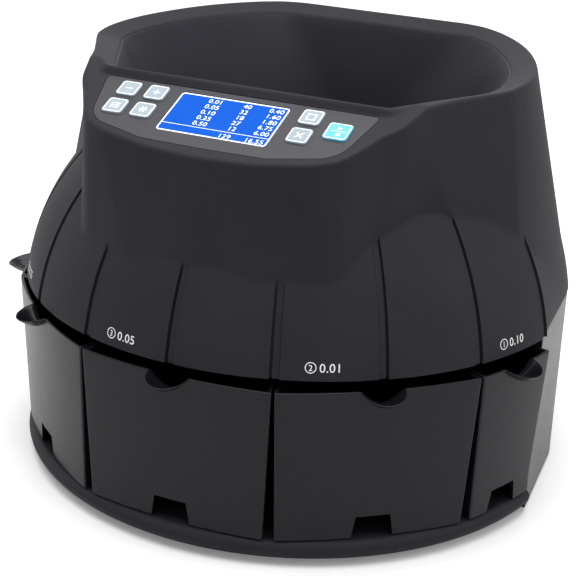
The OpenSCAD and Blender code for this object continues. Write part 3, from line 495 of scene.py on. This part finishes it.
def lofted(rings, capped):
    """A skin through rings of points: a circle set on the first ring and extruded on to each next."""
    bm = bmesh.new()
    bmesh.ops.create_circle(bm, cap_ends=capped, segments=len(rings[0]), radius=1)
    ring = sorted(bm.verts, key=lambda v: math.atan2(v.co.x, -v.co.y))
    edges = bm.edges[:]
    for step, points in enumerate(rings):
        if step:
            grown = bmesh.ops.extrude_edge_only(bm, edges=edges)["geom"]
            fresh = set(verts_of(grown))
            edges = [g for g in grown if isinstance(g, bmesh.types.BMEdge) and fresh.issuperset(g.verts)]
            ring = [e.other_vert(v) for v in ring for e in v.link_edges if e.other_vert(v) in fresh]
        for vert, point in zip(ring, points):
            vert.co = point
    if capped:
        bmesh.ops.edgeloop_fill(bm, edges=edges)
    bmesh.ops.recalc_face_normals(bm, faces=bm.faces[:])
    return bm


def carved(bm, wall, outwards, *cutters):
    """Gives a shell its wall thickness, then cuts the given shapes out of it."""
    mesh = bpy.data.meshes.new("shell")
    bm.to_mesh(mesh)
    shell = bpy.data.objects.new("shell", mesh)
    scene.collection.objects.link(shell)
    if wall:
        thick = shell.modifiers.new("wall", "SOLIDIFY")
        thick.thickness = wall * mm
        thick.offset = 1 if outwards else -1
    tools = []
    for cutter in cutters:
        tool_mesh = bpy.data.meshes.new("cutter")
        cutter.to_mesh(tool_mesh)
        cutter.free()
        tool = bpy.data.objects.new("cutter", tool_mesh)
        scene.collection.objects.link(tool)
        cut = shell.modifiers.new("cut", "BOOLEAN")
        cut.operation = "DIFFERENCE"
        cut.solver = "EXACT"
        cut.object = tool
        tools.append(tool)
    result = bpy.data.meshes.new_from_object(shell.evaluated_get(bpy.context.evaluated_depsgraph_get()))
    bm.clear()
    bm.from_mesh(result)
    for used in [shell] + tools:
        bpy.data.objects.remove(used)
    return bm


for place, (petals, width) in enumerate(bin_spots, start=1):
    half = math.radians(width * petal)
    plain_top = bin_top - scoop_clear * scoop_deep
    rings = [bin_ring(half, bin_floor - bin_wall, bin_wall), bin_ring(half, bin_low, bin_wall)]
    for down, into in edge_steps[::-1]:
        rings.append(bin_ring(half, bin_low + down * bin_edge, into * bin_edge))
    for z in np.linspace(bin_low + bin_edge, plain_top, wall_levels)[1:]:
        rings.append(bin_ring(half, z, 0))
    rings.append(bin_ring(half, bin_top - scoop_under * scoop_deep, 0, spread=scoop_tip))
    for drop in scoop_steps:
        z = bin_top - drop * scoop_deep
        rings.append(bin_ring(half, z, 0, (scoop_radius(drop * scoop_deep), z)))
    for down, into in edge_steps:
        lip = (scoop_radius(down * scoop_edge) - into * scoop_edge, bin_top - down * scoop_edge)
        rings.append(bin_ring(half, bin_top - down * bin_edge, into * bin_edge, lip))
    for down, into in edge_steps[::-1]:
        lip = (scoop_half - scoop_wall + into * scoop_edge, bin_top - down * scoop_edge)
        rings.append(bin_ring(half, bin_top - down * bin_edge, bin_wall - into * bin_edge, lip))
    for drop in scoop_steps[:0:-1]:
        z = bin_top - scoop_hollow * drop * scoop_deep
        bowl_wide = max(scoop_radius(drop * scoop_deep) - scoop_wall, scoop_tip)
        rings.append(bin_ring(half, z, bin_wall, (bowl_wide, z)))
    hollow_deep = scoop_hollow * scoop_under * scoop_deep
    rings.append(bin_ring(half, bin_top - hollow_deep, bin_wall, spread=scoop_tip))
    for z in (plain_top, (bin_top + bin_floor) / 2, bin_floor):
        rings.append(bin_ring(half, z, bin_wall))
    notch = bmesh.new()
    foot_out = max(-point.y for point in rings[1]) / mm
    notch_box = Matrix.Diagonal((notch_low, notch_deep, notch_high + notch_under, 1))
    notch_spot = Matrix.Translation((0, -foot_out, bin_low + (notch_high - notch_under) / 2))
    bmesh.ops.create_cube(notch, size=1, matrix=notch_spot @ notch_box)
    notch_lid = [v for v in notch.verts if v.co.z > bin_low]
    bmesh.ops.scale(notch, vec=(notch_top / notch_low, 1, 1), verts=notch_lid)
    bmesh.ops.transform(notch, matrix=Matrix.Scale(mm, 4), verts=notch.verts[:])
    bin_bm = carved(lofted(rings, True), 0, False, notch)
    bin_turn = Matrix.Rotation(math.radians(petals * petal), 4, "Z")
    bmesh.ops.transform(bin_bm, matrix=Matrix.Translation((0, axis_y, 0)) @ bin_turn, verts=bin_bm.verts[:])
    finished(
        f"bin_{place}_moulding", bin_bm, smooth_black_abs, "bin_abs", f"bin_{place}", f"coin_bin_{place}")

# Upper housing: dome with petal grooves, console and hopper rim, one charcoal ABS moulding.
# Its walls are drafted hulls of plan circles (x, y, radius, in millimetres from the disc's axis).
housing_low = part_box("dome_cover")[0][2] / mm
side_petals = 4
dome_half = side_petals * petal
# Dome's round in section: its centre's distance from the axis, that centre's height, and its radius
dome_out, dome_up, dome_round = 28.9, 94.2, 143.5
groove_half = 0.95
groove_depth = 2.8
groove_shallow = 1.1
groove_over = 1.1
# Across a groove, in half widths: a low step on its inner side, a flat floor, then a deep slit
groove_steps = np.array([-1.2, -1.0, -0.8, 0.46, 0.54, 0.92, 1.0, 1.2])
groove_drops = np.array([0, 0, groove_shallow, groove_shallow, groove_depth, groove_depth, 0, 0])
# Grooves by petal, with the side that the slit lies on
groove_sides = {k: 1 if k > 1 else -1 for k in range(-side_petals, side_petals + 1)}
rim_circles = ((84, -85, 8), (84.8, -6.2, 51.9), (77.8, 27.2, 50.8), (51.8, 60.9, 54))
rear_circles = ((84, -85, 8), (65, 30, 95.5), (60, 67, 75.8), (150, -31, 16.5))
foot_circles = ((84, -85, 8), (65, 30, 95.5), (60, 67, 75.8), (142, -29.5, 16.5))
mouth_circles = ((82, -82.5, 4), (84.8, -6.2, 36.9), (77.8, 27.2, 35.8), (51.8, 60.9, 39))
console_rim = ((0, -121.2, 22), (31, -119.6, 22), (62.5, -113.2, 22), (82, -88, 8), (60, -30, 28))
console_foot = (
    (0, -129.2, 25.9), (31, -126.5, 25.9), (59.6, -115.3, 25.9), (91, -90, 8), (66, -30, 30))
console_low = 149.85
rim_front_y = -93.0
rim_high = 250.7
rim_rise = math.tan(math.radians(1.78))
panel_y = -98.5
panel_high = 243.67
panel_slope = math.radians(23.02)
dome_blend = 1.2
wall_blend = 27.0
wall_blend_from = 185.0
wall_blend_rise = 0.35
top_round = 2.4
lip_half = 2.3
lip_clear = 0.8
lip_least = 1.0
mouth_round = 2.0
dish_slope = 0.3
shell_wall = 2.3
# Directions, in degrees from the front: how closely they lie, and where and how far corners are eased
reach_step = 0.5
least_turn = 0.02
side_from, side_to, side_fade = 68, 158, 15
foot_ease, rim_ease = 8, 14
around = np.radians(np.arange(0, 360, reach_step))
# Columns round the housing, and rows up its wall and over its top
column_gap = 1.6
petal_columns, rear_columns = 12, 150
lower_rows, upper_rows, edge_rows, mouth_rows = 13, 15, 7, 6
foot_high = 1.0
foot_steps = ((0.9, 0.0), (0.3, 0.3), (0.0, foot_high))
crease_band = 7
crease_steps = (-4.5, -2.8, -1.6, -0.8, -0.3, 0, 0.3, 0.8, 1.6, 2.8, 4.5, crease_band)
crease_from, crease_most, search_top = 12, 196, 215.0
crease_rounds, edge_rounds = 30, 6


def reach(circles):
    """The furthest that a hull of mirrored circles goes in each direction round the axis."""
    both = [(side * x, y, r) for x, y, r in circles for side in (-1, 1)]
    return np.max([x * np.sin(around) - y * np.cos(around) + r for x, y, r in both], axis=0)


def outline(reaches, angles):
    """Distance from the axis to that hull's edge at each angle."""
    turn = np.cos(around[None, :] - angles[:, None])
    return np.min(np.where(turn > least_turn, reaches / np.maximum(turn, least_turn), np.inf), axis=1)


def soft_max(a, b, width):
    """The larger of two surfaces, with a fillet where they meet."""
    near = np.maximum(width - np.abs(a - b), 0) / width
    return np.maximum(a, b) + near * near * width / 4


def ramp(t):
    """A smooth step from 0 to 1."""
    t = np.clip(t, 0, 1)
    return t * t * (3 - 2 * t)


def eased(reaches, spread):
    """The same hull with rounder corners at its sides: reach averaged over nearby directions."""
    count = int(spread / reach_step)
    mean = np.mean([np.roll(reaches, k) for k in range(-count, count + 1)], axis=0)
    off_front = np.degrees(np.abs((around + np.pi) % (2 * np.pi) - np.pi))
    share = ramp((off_front - side_from) / side_fade) * ramp((side_to - off_front) / side_fade)
    return reaches + share * (mean - reaches)


column_list = []
for k, outwards in groove_sides.items():
    column_list.append(k * petal + outwards * groove_half * groove_steps)
for k in range(-side_petals, side_petals):
    column_list.append(np.linspace(k * petal + column_gap, (k + 1) * petal - column_gap, petal_columns))
column_list.append(np.linspace(dome_half + column_gap, 360 - dome_half - column_gap, rear_columns))
columns = np.concatenate(column_list)
columns = np.radians(np.sort((columns + 180) % 360 - 180))
degrees = np.degrees(columns)
foot_reach = eased(reach(foot_circles), foot_ease)
rim_reach = eased(reach(rim_circles), rim_ease)
mouth_reach = eased(reach(mouth_circles), rim_ease)
console_foot_reach = reach(console_foot)
console_rim_reach = reach(console_rim)
rim_radius = outline(rim_reach, columns)
mouth_radius = outline(mouth_reach, columns)
groove = np.zeros_like(columns)
for k, outwards in groove_sides.items():
    across = (degrees - k * petal) / groove_half * outwards
    groove = groove + np.interp(across, groove_steps, groove_drops)
rear_top = outline(reach(rear_circles), columns)
dome_foot = dome_out + math.sqrt(dome_round ** 2 - (housing_low - dome_up) ** 2)
past_dome = np.abs(degrees) > dome_half + groove_over * groove_half
dome_fall = np.where(past_dome, np.maximum(dome_foot - rear_top, 0), 0)


def rim_plane(y):
    """Height of the tilted hopper rim."""
    return rim_high + (y - rim_front_y) * rim_rise


def panel_plane(y):
    """Height of the sloping control panel."""
    return panel_high + (y - panel_y) * math.tan(panel_slope)


def tower_radius(z):
    """Wall of hopper and console together at one height for each column."""
    top = rim_plane(-rim_radius * np.cos(columns))
    t = ((z - housing_low) / (top - housing_low))[:, None]
    hopper = outline((1 - t) * foot_reach + t * rim_reach, columns)
    t = ((z - console_low) / (rim_high - console_low))[:, None]
    console = outline((1 - t) * console_foot_reach + t * console_rim_reach, columns)
    return soft_max(hopper, console, wall_blend + wall_blend_rise * np.maximum(z - wall_blend_from, 0))


def dome_radius(z):
    """Dome at one height for each column, with its grooves, drawn in to the rear wall past its ends."""
    level = np.sqrt(np.maximum(dome_round ** 2 - (z - dome_up) ** 2, 0))
    return dome_out + level - groove - dome_fall


def wall_radius(z):
    """Outside of the housing at one height for each column."""
    return soft_max(tower_radius(z), dome_radius(z), dome_blend)


crease_low = np.full_like(columns, housing_low)
crease_high = np.full_like(columns, search_top)
for _ in range(crease_rounds):
    middle = (crease_low + crease_high) / 2
    in_dome = dome_radius(middle) + groove > tower_radius(middle)
    crease_low = np.where(in_dome, middle, crease_low)
    crease_high = np.where(in_dome, crease_high, middle)
crease = np.clip(crease_low, housing_low + crease_from, crease_most)
edge_radius = np.maximum(rim_radius, outline(console_rim_reach, columns))
for _ in range(edge_rounds):
    edge_y = -edge_radius * np.cos(columns)
    edge_high = np.minimum(panel_plane(edge_y), rim_plane(edge_y))
    edge_radius = wall_radius(edge_high)


def top_height(radius):
    """Height of the housing's top at a distance from the axis: panel, lip, dished rim band."""
    y = -radius * np.cos(columns)
    flat = np.minimum(panel_plane(y), rim_plane(y))
    band = rim_plane(y) - dish_slope * np.maximum(rim_radius - radius, 0)
    return flat + (band - flat) * ramp((rim_radius + lip_half - radius) / (2 * lip_half))


rows = []
for drop, lift in foot_steps:
    height = np.full_like(columns, housing_low + lift)
    rows.append((wall_radius(height) - drop, height))
wall_top = edge_high - top_round
for t in np.linspace(0, 1, lower_rows)[1:]:
    height = housing_low + foot_high + t * (crease - crease_band - housing_low - foot_high)
    rows.append((wall_radius(height), height))
for step in crease_steps:
    rows.append((wall_radius(crease + step), crease + step))
for t in np.linspace(0, 1, upper_rows)[1:]:
    height = crease + crease_band + t * (wall_top - crease - crease_band)
    rows.append((wall_radius(height), height))
low_radius = wall_radius(wall_top)
in_radius = edge_radius - top_round
in_height = top_height(in_radius)
for t in np.linspace(0, 1, edge_rows)[1:]:
    rows.append((bent(low_radius, edge_radius, in_radius, t), bent(wall_top, edge_high, in_height, t)))
lip_start = np.minimum(rim_radius + lip_half, in_radius - lip_clear)
lip_end = np.minimum(rim_radius - lip_half, lip_start - lip_least)
band_end = mouth_radius + mouth_round
for start, end, count in ((in_radius, lip_start, 9), (lip_start, lip_end, 9), (lip_end, band_end, 6)):
    for t in np.linspace(0, 1, count)[1:]:
        radius = start + t * (end - start)
        rows.append((radius, top_height(radius)))
band_high = top_height(band_end)
mouth_high = top_height(mouth_radius)
for t in np.linspace(0, 1, mouth_rows)[1:]:
    rows.append((
        bent(band_end, mouth_radius, mouth_radius, t),
        bent(band_high, mouth_high, mouth_high - mouth_round, t)))


def ringed(rows, columns):
    """A shell from rows of distances and heights round the axis."""
    return lofted([
        [Vector((r * math.sin(a), -r * math.cos(a) + axis_y / mm, z)) * mm
         for a, r, z in zip(columns, radius, height)]
        for radius, height in rows], False)


# On the panel, x and y run from the middle of its upper edge, and z stands square to it
panel_turn = Matrix.Rotation(panel_slope, 4, "X")
panel_place = Matrix.Translation((0, panel_y * mm + axis_y, panel_high * mm)) @ panel_turn
fascia_circles = ((0, -25.8, 18.5), (35, -25.2, 18.5), (59, -19, 18.5), (81, 2, 2))
fascia_points = 56
recess_gap = 0.35
recess_depth = 0.86
recess_over = 4
opening_gap = 0.5
hole_deep = 8
lcd_size = (66.4, 34.6)
lcd_mid = (0.0, -lcd_size[1] / 2)
lcd_round = 2.2
key_round = 2.2
key_side = 12.5
start_side = 13.8
key_upper, key_lower = -5.65, -21.95
key_spots = {
    "minus": (-64.4, key_upper), "plus": (-46.9, key_upper), "batch": (-64.4, key_lower),
    "set": (-46.9, key_lower), "print": (47.6, key_upper), "clear": (47.6, key_lower),
    "start": (66.3, (key_upper + key_lower) / 2)}


def on_panel(bm):
    """Moves a mesh that was drawn flat, in millimetres, to its place on the panel."""
    bmesh.ops.transform(bm, matrix=panel_place @ Matrix.Scale(mm, 4), verts=bm.verts[:])
    return bm


def fascia_block(grow, low, high):
    """The overlay's outline as a block between two heights over the panel."""
    bm = bmesh.new()
    for x, y, r in fascia_circles:
        for side in (-1, 1):
            for z in (low, high):
                spot = Matrix.Translation((side * x, y, z))
                bmesh.ops.create_circle(bm, segments=fascia_points, radius=r + grow, matrix=spot)
    hull = bmesh.ops.convex_hull(bm, input=bm.verts[:])
    loose = set(hull["geom_interior"] + hull["geom_unused"])
    bmesh.ops.delete(bm, geom=verts_of(loose), context="VERTS")
    return on_panel(bm)


def join_in(bm, extra):
    """Adds one mesh to another and frees it."""
    mesh = bpy.data.meshes.new("extra")
    extra.to_mesh(mesh)
    extra.free()
    bm.from_mesh(mesh)
    bpy.data.meshes.remove(mesh)


def rounded_block(bm, spot, size, low, high, corner):
    """Adds a block with rounded upright edges to a mesh."""
    block = bmesh.new()
    shape = Matrix.Diagonal((size[0], size[1], high - low, 1))
    bmesh.ops.create_cube(block, size=1, matrix=Matrix.Translation((*spot, (low + high) / 2)) @ shape)
    upright = [e for e in block.edges if abs(e.verts[0].co.z - e.verts[1].co.z) > (high - low) / 2]
    rounded(block, upright, corner, segments=6)
    join_in(bm, block)


def panel_holes(gap):
    """Blocks where the display and the keys come through."""
    bm = bmesh.new()
    window = (lcd_size[0] + 2 * gap, lcd_size[1] + 2 * gap)
    rounded_block(bm, lcd_mid, window, -hole_deep, hole_deep, lcd_round + gap)
    for name, spot in key_spots.items():
        side = (start_side if name == "start" else key_side) + 2 * gap
        rounded_block(bm, spot, (side, side), -hole_deep, hole_deep, key_round + gap)
    return on_panel(bm)


housing_bm = ringed(rows, columns)
recess = fascia_block(recess_gap, -recess_depth, recess_over)
carved(housing_bm, shell_wall, False, recess, panel_holes(opening_gap))
finished("upper_housing", housing_bm, charcoal_abs, "housing_abs", "chassis", "dome_cover", "hopper_tower")

# Hopper bowl: a smooth ABS funnel that hangs under the rim and leads down to the disc's throat.
# Its wall is drawn between the mouth and the throat's circle; use keeps it slightly polished.
throat_radius = 80.0
throat_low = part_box("sorting_rail")[1][2] / mm
bowl_wall = 2.0
flange = 6.0
flange_least = 0.2
bowl_drop = 0.5
bowl_clear = 0.1
bowl_curve = 1.9
bowl_levels = 22
bowl_crowd = 1.4
bowl_step = 2.0
bowl_abs = moulded_plastic("bowl_smooth_abs", "#29282e", "#2e2d33", 0.46, 0.09, 3.0, 0.02)
bowl_columns = np.radians(np.arange(-180, 180, bowl_step))
bowl_mouth = outline(mouth_reach, bowl_columns)
bowl_band = outline(rim_reach, bowl_columns) - bowl_mouth
bowl_top = rim_plane(-bowl_mouth * np.cos(bowl_columns)) - dish_slope * bowl_band - mouth_round - bowl_drop
bowl_rows = [(bowl_mouth + flange * np.minimum(1, flange_least + np.abs(bowl_columns)), bowl_top)]
for t in np.linspace(0, 1, bowl_levels) ** bowl_crowd:
    draw = 1 - (1 - t) ** bowl_curve
    slope = (1 - draw) * mouth_reach + draw * throat_radius
    bowl_rows.append((outline(slope, bowl_columns) + bowl_clear, bowl_top + t * (throat_low - bowl_top)))
bowl_bm = ringed(bowl_rows, bowl_columns)
carved(bowl_bm, bowl_wall, True)
finished("hopper_funnel", bowl_bm, bowl_abs, "hopper_abs", "chassis", "hopper_bowl")

# Panel overlay: a printed polyester film stuck into a shallow recess of the console.
# Fine matt texture, a little paler than the housing around it.
film_thick = 0.8
film_gap = 0.22
panel_film = moulded_plastic("matt_polyester_film", "#2d2c32", "#313036", 0.48, 0.36, 1.2, 0.02)
film_bm = carved(fascia_block(0, -film_thick, 0), 0, False, panel_holes(film_gap))
finished("panel_overlay", film_bm, panel_film, "panel_film", "chassis", "panel_fascia")

# Display: a backlit blue window with a white printed border, a rule and rows of plain numbers.
# Clear acrylic over the lit panel, so the blue is nearly even and the face slightly glossy.
window_sunk = 0.3
window_deep = 3.0
window_edge = 0.15
glow_patch = 14 * mm
acrylic_ior = 1.49
window_blue, blue_tree, blue_shader, blue_place = new_material("backlit_blue_acrylic")
blue_cells = add_node(
    blue_tree, "ShaderNodeTexNoise", {"Scale": 1 / glow_patch, "Detail": 1.0}, {"Vector": blue_place})
blue_tone = add_node(blue_tree, "ShaderNodeValToRGB", {}, {"Fac": blue_cells.outputs["Fac"]})
blue_tone.color_ramp.elements[0].color = linear("#0264ea")
blue_tone.color_ramp.elements[1].color = linear("#036ef4")
blue_shader.inputs["Base Color"].default_value = linear("#021230")
blue_tree.links.new(blue_tone.outputs["Color"], blue_shader.inputs["Emission Color"])
blue_shader.inputs["Emission Strength"].default_value = 0.95
blue_shader.inputs["Roughness"].default_value = 0.3
blue_shader.inputs["Specular IOR Level"].default_value = 0.04
blue_shader.inputs["IOR"].default_value = acrylic_ior


def top_face(bm):
    """The highest face of a mesh that lies flat."""
    return max(bm.faces, key=lambda f: f.calc_center_median().z)


window_bm = bmesh.new()
rounded_block(window_bm, lcd_mid, lcd_size, -window_deep, -window_sunk, lcd_round)
rounded(window_bm, top_face(window_bm).edges[:], window_edge, segments=2)
finished("display_window", on_panel(window_bm), window_blue, "display_glass", "chassis", "lcd_window")

border_wide = 0.9
border_round = 2.0
border_margin = 0.4
print_thick = 0.05
digit_high = 3.5
digit_pitch = 5.05
digit_top = 2.2
digit_ends = (27.0, 44.5, 64.0)
digit_lines = (
    ("0.01", "40", "0.40"), ("0.05", "32", "1.60"), ("0.10", "18", "1.80"), ("0.25", "27", "6.75"),
    ("0.50", "12", "6.00"))
totals = ("129", "16.55")
total_low = 1.7
rule_low = 6.9
rule_thick = 0.4
rule_margin = 2
# Text size for a digit one unit high, and the spacing of digits
text_size = 1.38
text_spacing = 1.06
# Screen mesh drawn at 0.8 mm: the real one is about 0.1 mm, too fine to show
ink_mesh = 0.8 * mm
ink_thin, ink_full = 0.94, 1.04


def printed_ink(name, colour, glow):
    """Screen-printed ink: an even matt film, slightly uneven where the mesh lay."""
    material, tree, shader, place = new_material(name)
    mesh = add_node(tree, "ShaderNodeTexNoise", {"Scale": 1 / ink_mesh, "Detail": 1.0}, {"Vector": place})
    tone = add_node(tree, "ShaderNodeHueSaturation", {"Color": linear(colour)})
    level = add_node(
        tree, "ShaderNodeMapRange", {"To Min": ink_thin, "To Max": ink_full},
        {"Value": mesh.outputs["Fac"]})
    tree.links.new(level.outputs["Result"], tone.inputs["Value"])
    tree.links.new(tone.outputs["Color"], shader.inputs["Base Color"])
    shader.inputs["Emission Color"].default_value = linear(colour)
    shader.inputs["Emission Strength"].default_value = glow
    shader.inputs["Roughness"].default_value = 0.6
    return material


def strip(bm, x, y, z, wide, deep, turn=0.0):
    """A thin printed bar."""
    spot = Matrix.Translation((x, y, z + print_thick / 2)) @ Matrix.Rotation(turn, 4, "Z")
    bmesh.ops.create_cube(bm, size=1, matrix=spot @ Matrix.Diagonal((wide, deep, print_thick, 1)))


def number(bm, text, x, y, z, high, align="RIGHT", bold=0.02):
    """A plain number as a thin printed mesh, set from its right end, its left end or its middle."""
    curve = bpy.data.curves.new("number", "FONT")
    curve.body = text
    curve.size = high * text_size
    curve.extrude = print_thick / 2
    curve.offset = bold
    curve.align_x = align
    curve.space_character = text_spacing
    word = bpy.data.objects.new("number", curve)
    scene.collection.objects.link(word)
    mesh = bpy.data.meshes.new_from_object(word.evaluated_get(bpy.context.evaluated_depsgraph_get()))
    bpy.data.objects.remove(word)
    mesh.transform(Matrix.Translation((x, y, z + print_thick / 2)))
    bm.from_mesh(mesh)
    bpy.data.meshes.remove(mesh)


lit_white = printed_ink("backlit_white", "#eef4ff", 0.4)
screen_bm = bmesh.new()
screen_left = lcd_mid[0] - lcd_size[0] / 2
screen_low = lcd_mid[1] - lcd_size[1] / 2
screen_top = lcd_mid[1] + lcd_size[1] / 2
border_size = (lcd_size[0] - border_margin, lcd_size[1] - border_margin)
rounded_block(screen_bm, lcd_mid, border_size, -window_sunk, print_thick - window_sunk, border_round)
flat_faces = [f for f in screen_bm.faces if round(abs(f.normal.z)) == 1]
bmesh.ops.inset_individual(screen_bm, faces=flat_faces, thickness=border_wide)
bmesh.ops.bridge_loops(screen_bm, edges=[e for f in flat_faces for e in f.edges])
bmesh.ops.delete(screen_bm, geom=flat_faces, context="FACES_ONLY")
bmesh.ops.recalc_face_normals(screen_bm, faces=screen_bm.faces[:])
strip(screen_bm, lcd_mid[0], screen_low + rule_low, -window_sunk, lcd_size[0] - rule_margin, rule_thick)
for line, values in enumerate(digit_lines):
    y = screen_top - digit_top - digit_high - line * digit_pitch
    for x, value in zip(digit_ends, values):
        number(screen_bm, value, screen_left + x, y, -window_sunk, digit_high)
for x, value in zip(digit_ends[1:], totals):
    number(screen_bm, value, screen_left + x, screen_low + total_low, -window_sunk, digit_high)
finished("display_digits", on_panel(screen_bm), lit_white, "display_glass", "chassis")

# Keys: seven moulded caps that stand out of the overlay, each with a white edge and a plain sign.
# Silver-grey silicone, the start key cyan; they sink 0.8 mm when pressed.
key_low = -2.2
key_high = 1.2
key_top_round = 0.5
edge_wide = 0.75
dish_edge = 0.2
dish_deep = 0.12
sign_sunk = 0.02
# Bars of the signs; those that cross lie a little above each other
bar_wide = 0.9
dash_long = 4.4
list_long = 5.4
list_pitch = 1.8
star_long = 5.2
star_turn = math.radians(60)
frame_long = 5.4
frame_wide = 0.8
frame_half = 2.3
cross_long = 6.0
cross_turn = math.radians(45)
cross_lift = 0.0045
layer = 0.01
start_rule = (8.4, 0.6)
start_block = 2.6
start_shift = 0.9
start_gap = 2.6
start_point = 2.0
key_grey = moulded_plastic("silver_grey_silicone", "#9fadb8", "#a7b4be", 0.5, 0.3, 1.0, 0.02)
key_cyan = moulded_plastic("cyan_silicone", "#63c6df", "#6ecde4", 0.5, 0.3, 1.0, 0.02)
edge_white = printed_ink("white_key_edge", "#f3f7f9", 0.0)
sign_white = printed_ink("white_sign_ink", "#f4f7f9", 0.0)
for name, spot in key_spots.items():
    side = start_side if name == "start" else key_side
    key_bm = bmesh.new()
    rounded_block(key_bm, spot, (side, side), key_low, key_high, key_round)
    rounded(key_bm, top_face(key_bm).edges[:], key_top_round, segments=3)
    dish = top_face(key_bm)
    rim = bmesh.ops.inset_region(key_bm, faces=[dish], thickness=edge_wide, depth=0.0)["faces"]
    bmesh.ops.inset_region(key_bm, faces=[dish], thickness=dish_edge, depth=-dish_deep)
    for face in rim:
        face.material_index = 1
    cap = finished(
        f"{name}_cap", on_panel(key_bm), key_cyan if name == "start" else key_grey,
        "start_key" if name == "start" else "key_plastic", f"{name}_button", f"key_{name}")
    cap.data.materials.append(edge_white)

    sign_bm = bmesh.new()
    x, y = spot
    z = key_high - dish_deep - sign_sunk
    if name in ("minus", "plus"):
        strip(sign_bm, x, y, z, dash_long, bar_wide)
    if name == "plus":
        strip(sign_bm, x, y, z + layer, bar_wide, dash_long)
    if name == "batch":
        for step in (-1, 0, 1):
            strip(sign_bm, x, y + list_pitch * step, z, list_long, bar_wide)
    if name == "set":
        for step in (0, 1, 2):
            strip(sign_bm, x, y, z + layer * step, star_long, bar_wide, star_turn * step)
    if name == "print":
        for step in (-1, 1):
            strip(sign_bm, x, y + frame_half * step, z, frame_long, frame_wide)
            strip(sign_bm, x + frame_half * step, y, z + layer, frame_wide, frame_long)
    if name == "clear":
        for step in (-1, 1):
            strip(sign_bm, x, y, z + cross_lift * step, cross_long, bar_wide, cross_turn * step)
    if name == "start":
        strip(sign_bm, x, y, z, *start_rule)
        strip(sign_bm, x + start_shift, y - start_gap, z, start_block, start_block)
        point_place = Matrix.Translation((x, y + start_gap, z + print_thick / 2))
        bmesh.ops.create_cone(
            sign_bm, cap_ends=True, segments=3, radius1=start_point, radius2=start_point, depth=print_thick,
            matrix=point_place @ Matrix.Rotation(-math.pi / 2, 4, "Z"))
    finished(f"{name}_sign", on_panel(sign_bm), sign_white, "panel_film", f"{name}_button")

# Bin numbers: white pad-printed numbers on the dome, a digit in a ring and a plain number beside it.
# They lie on the dome's curve, on the left petal above each bin.
labels = ((3, "1", "0.10"), (1, "2", "0.01"), (-1, "3", "0.05"), (-3, "4", "0.25"), (-4, "5", "0.50"))
label_angle = 6.4
label_z = 121.6
label_high = 4.9
label_start = 4.6
label_bold = 0.03
ring_radius = 3.1
ring_wide = 0.5
ring_points = 40
ring_digit_high = 3.3
longest_edge = 0.9
ink_lift = 0.05
label_white = printed_ink("pad_printed_white", "#f2f2f2", 0.0)
label_bm = bmesh.new()
label_rise = math.asin((label_z - dome_up) / dome_round)
label_radius = dome_out + dome_round * math.cos(label_rise)
for start_petal, digit, value in labels:
    flat = bmesh.new()
    bmesh.ops.create_circle(flat, segments=ring_points, radius=ring_radius)
    hoop = bmesh.ops.extrude_edge_only(flat, edges=flat.edges[:])["geom"]
    scale = (ring_radius - ring_wide) / ring_radius
    bmesh.ops.scale(flat, vec=(scale, scale, 1), verts=verts_of(hoop))
    hoop_top = bmesh.ops.extrude_face_region(flat, geom=flat.faces[:], use_keep_orig=True)["geom"]
    bmesh.ops.translate(flat, vec=(0, 0, print_thick), verts=verts_of(hoop_top))
    bmesh.ops.recalc_face_normals(flat, faces=flat.faces[:])
    number(flat, digit, 0.0, -ring_digit_high / 2, 0.0, ring_digit_high, "CENTER")
    number(flat, value, label_start, -label_high / 2, 0.0, label_high, "LEFT", label_bold)
    long_edges = [e for e in flat.edges if e.calc_length() > longest_edge]
    bmesh.ops.subdivide_edges(flat, edges=long_edges, cuts=2)
    label_turn = math.radians(start_petal * petal + label_angle)
    for vert in flat.verts:
        angle = label_turn + vert.co.x / label_radius
        tilt = label_rise + vert.co.y / dome_round
        out = dome_round + ink_lift + vert.co.z
        r = dome_out + out * math.cos(tilt)
        z = dome_up + out * math.sin(tilt)
        vert.co = (r * math.sin(angle) * mm, -r * math.cos(angle) * mm + axis_y, z * mm)
    join_in(label_bm, flat)
finished("bin_numbers", label_bm, label_white, "housing_abs", "chassis")
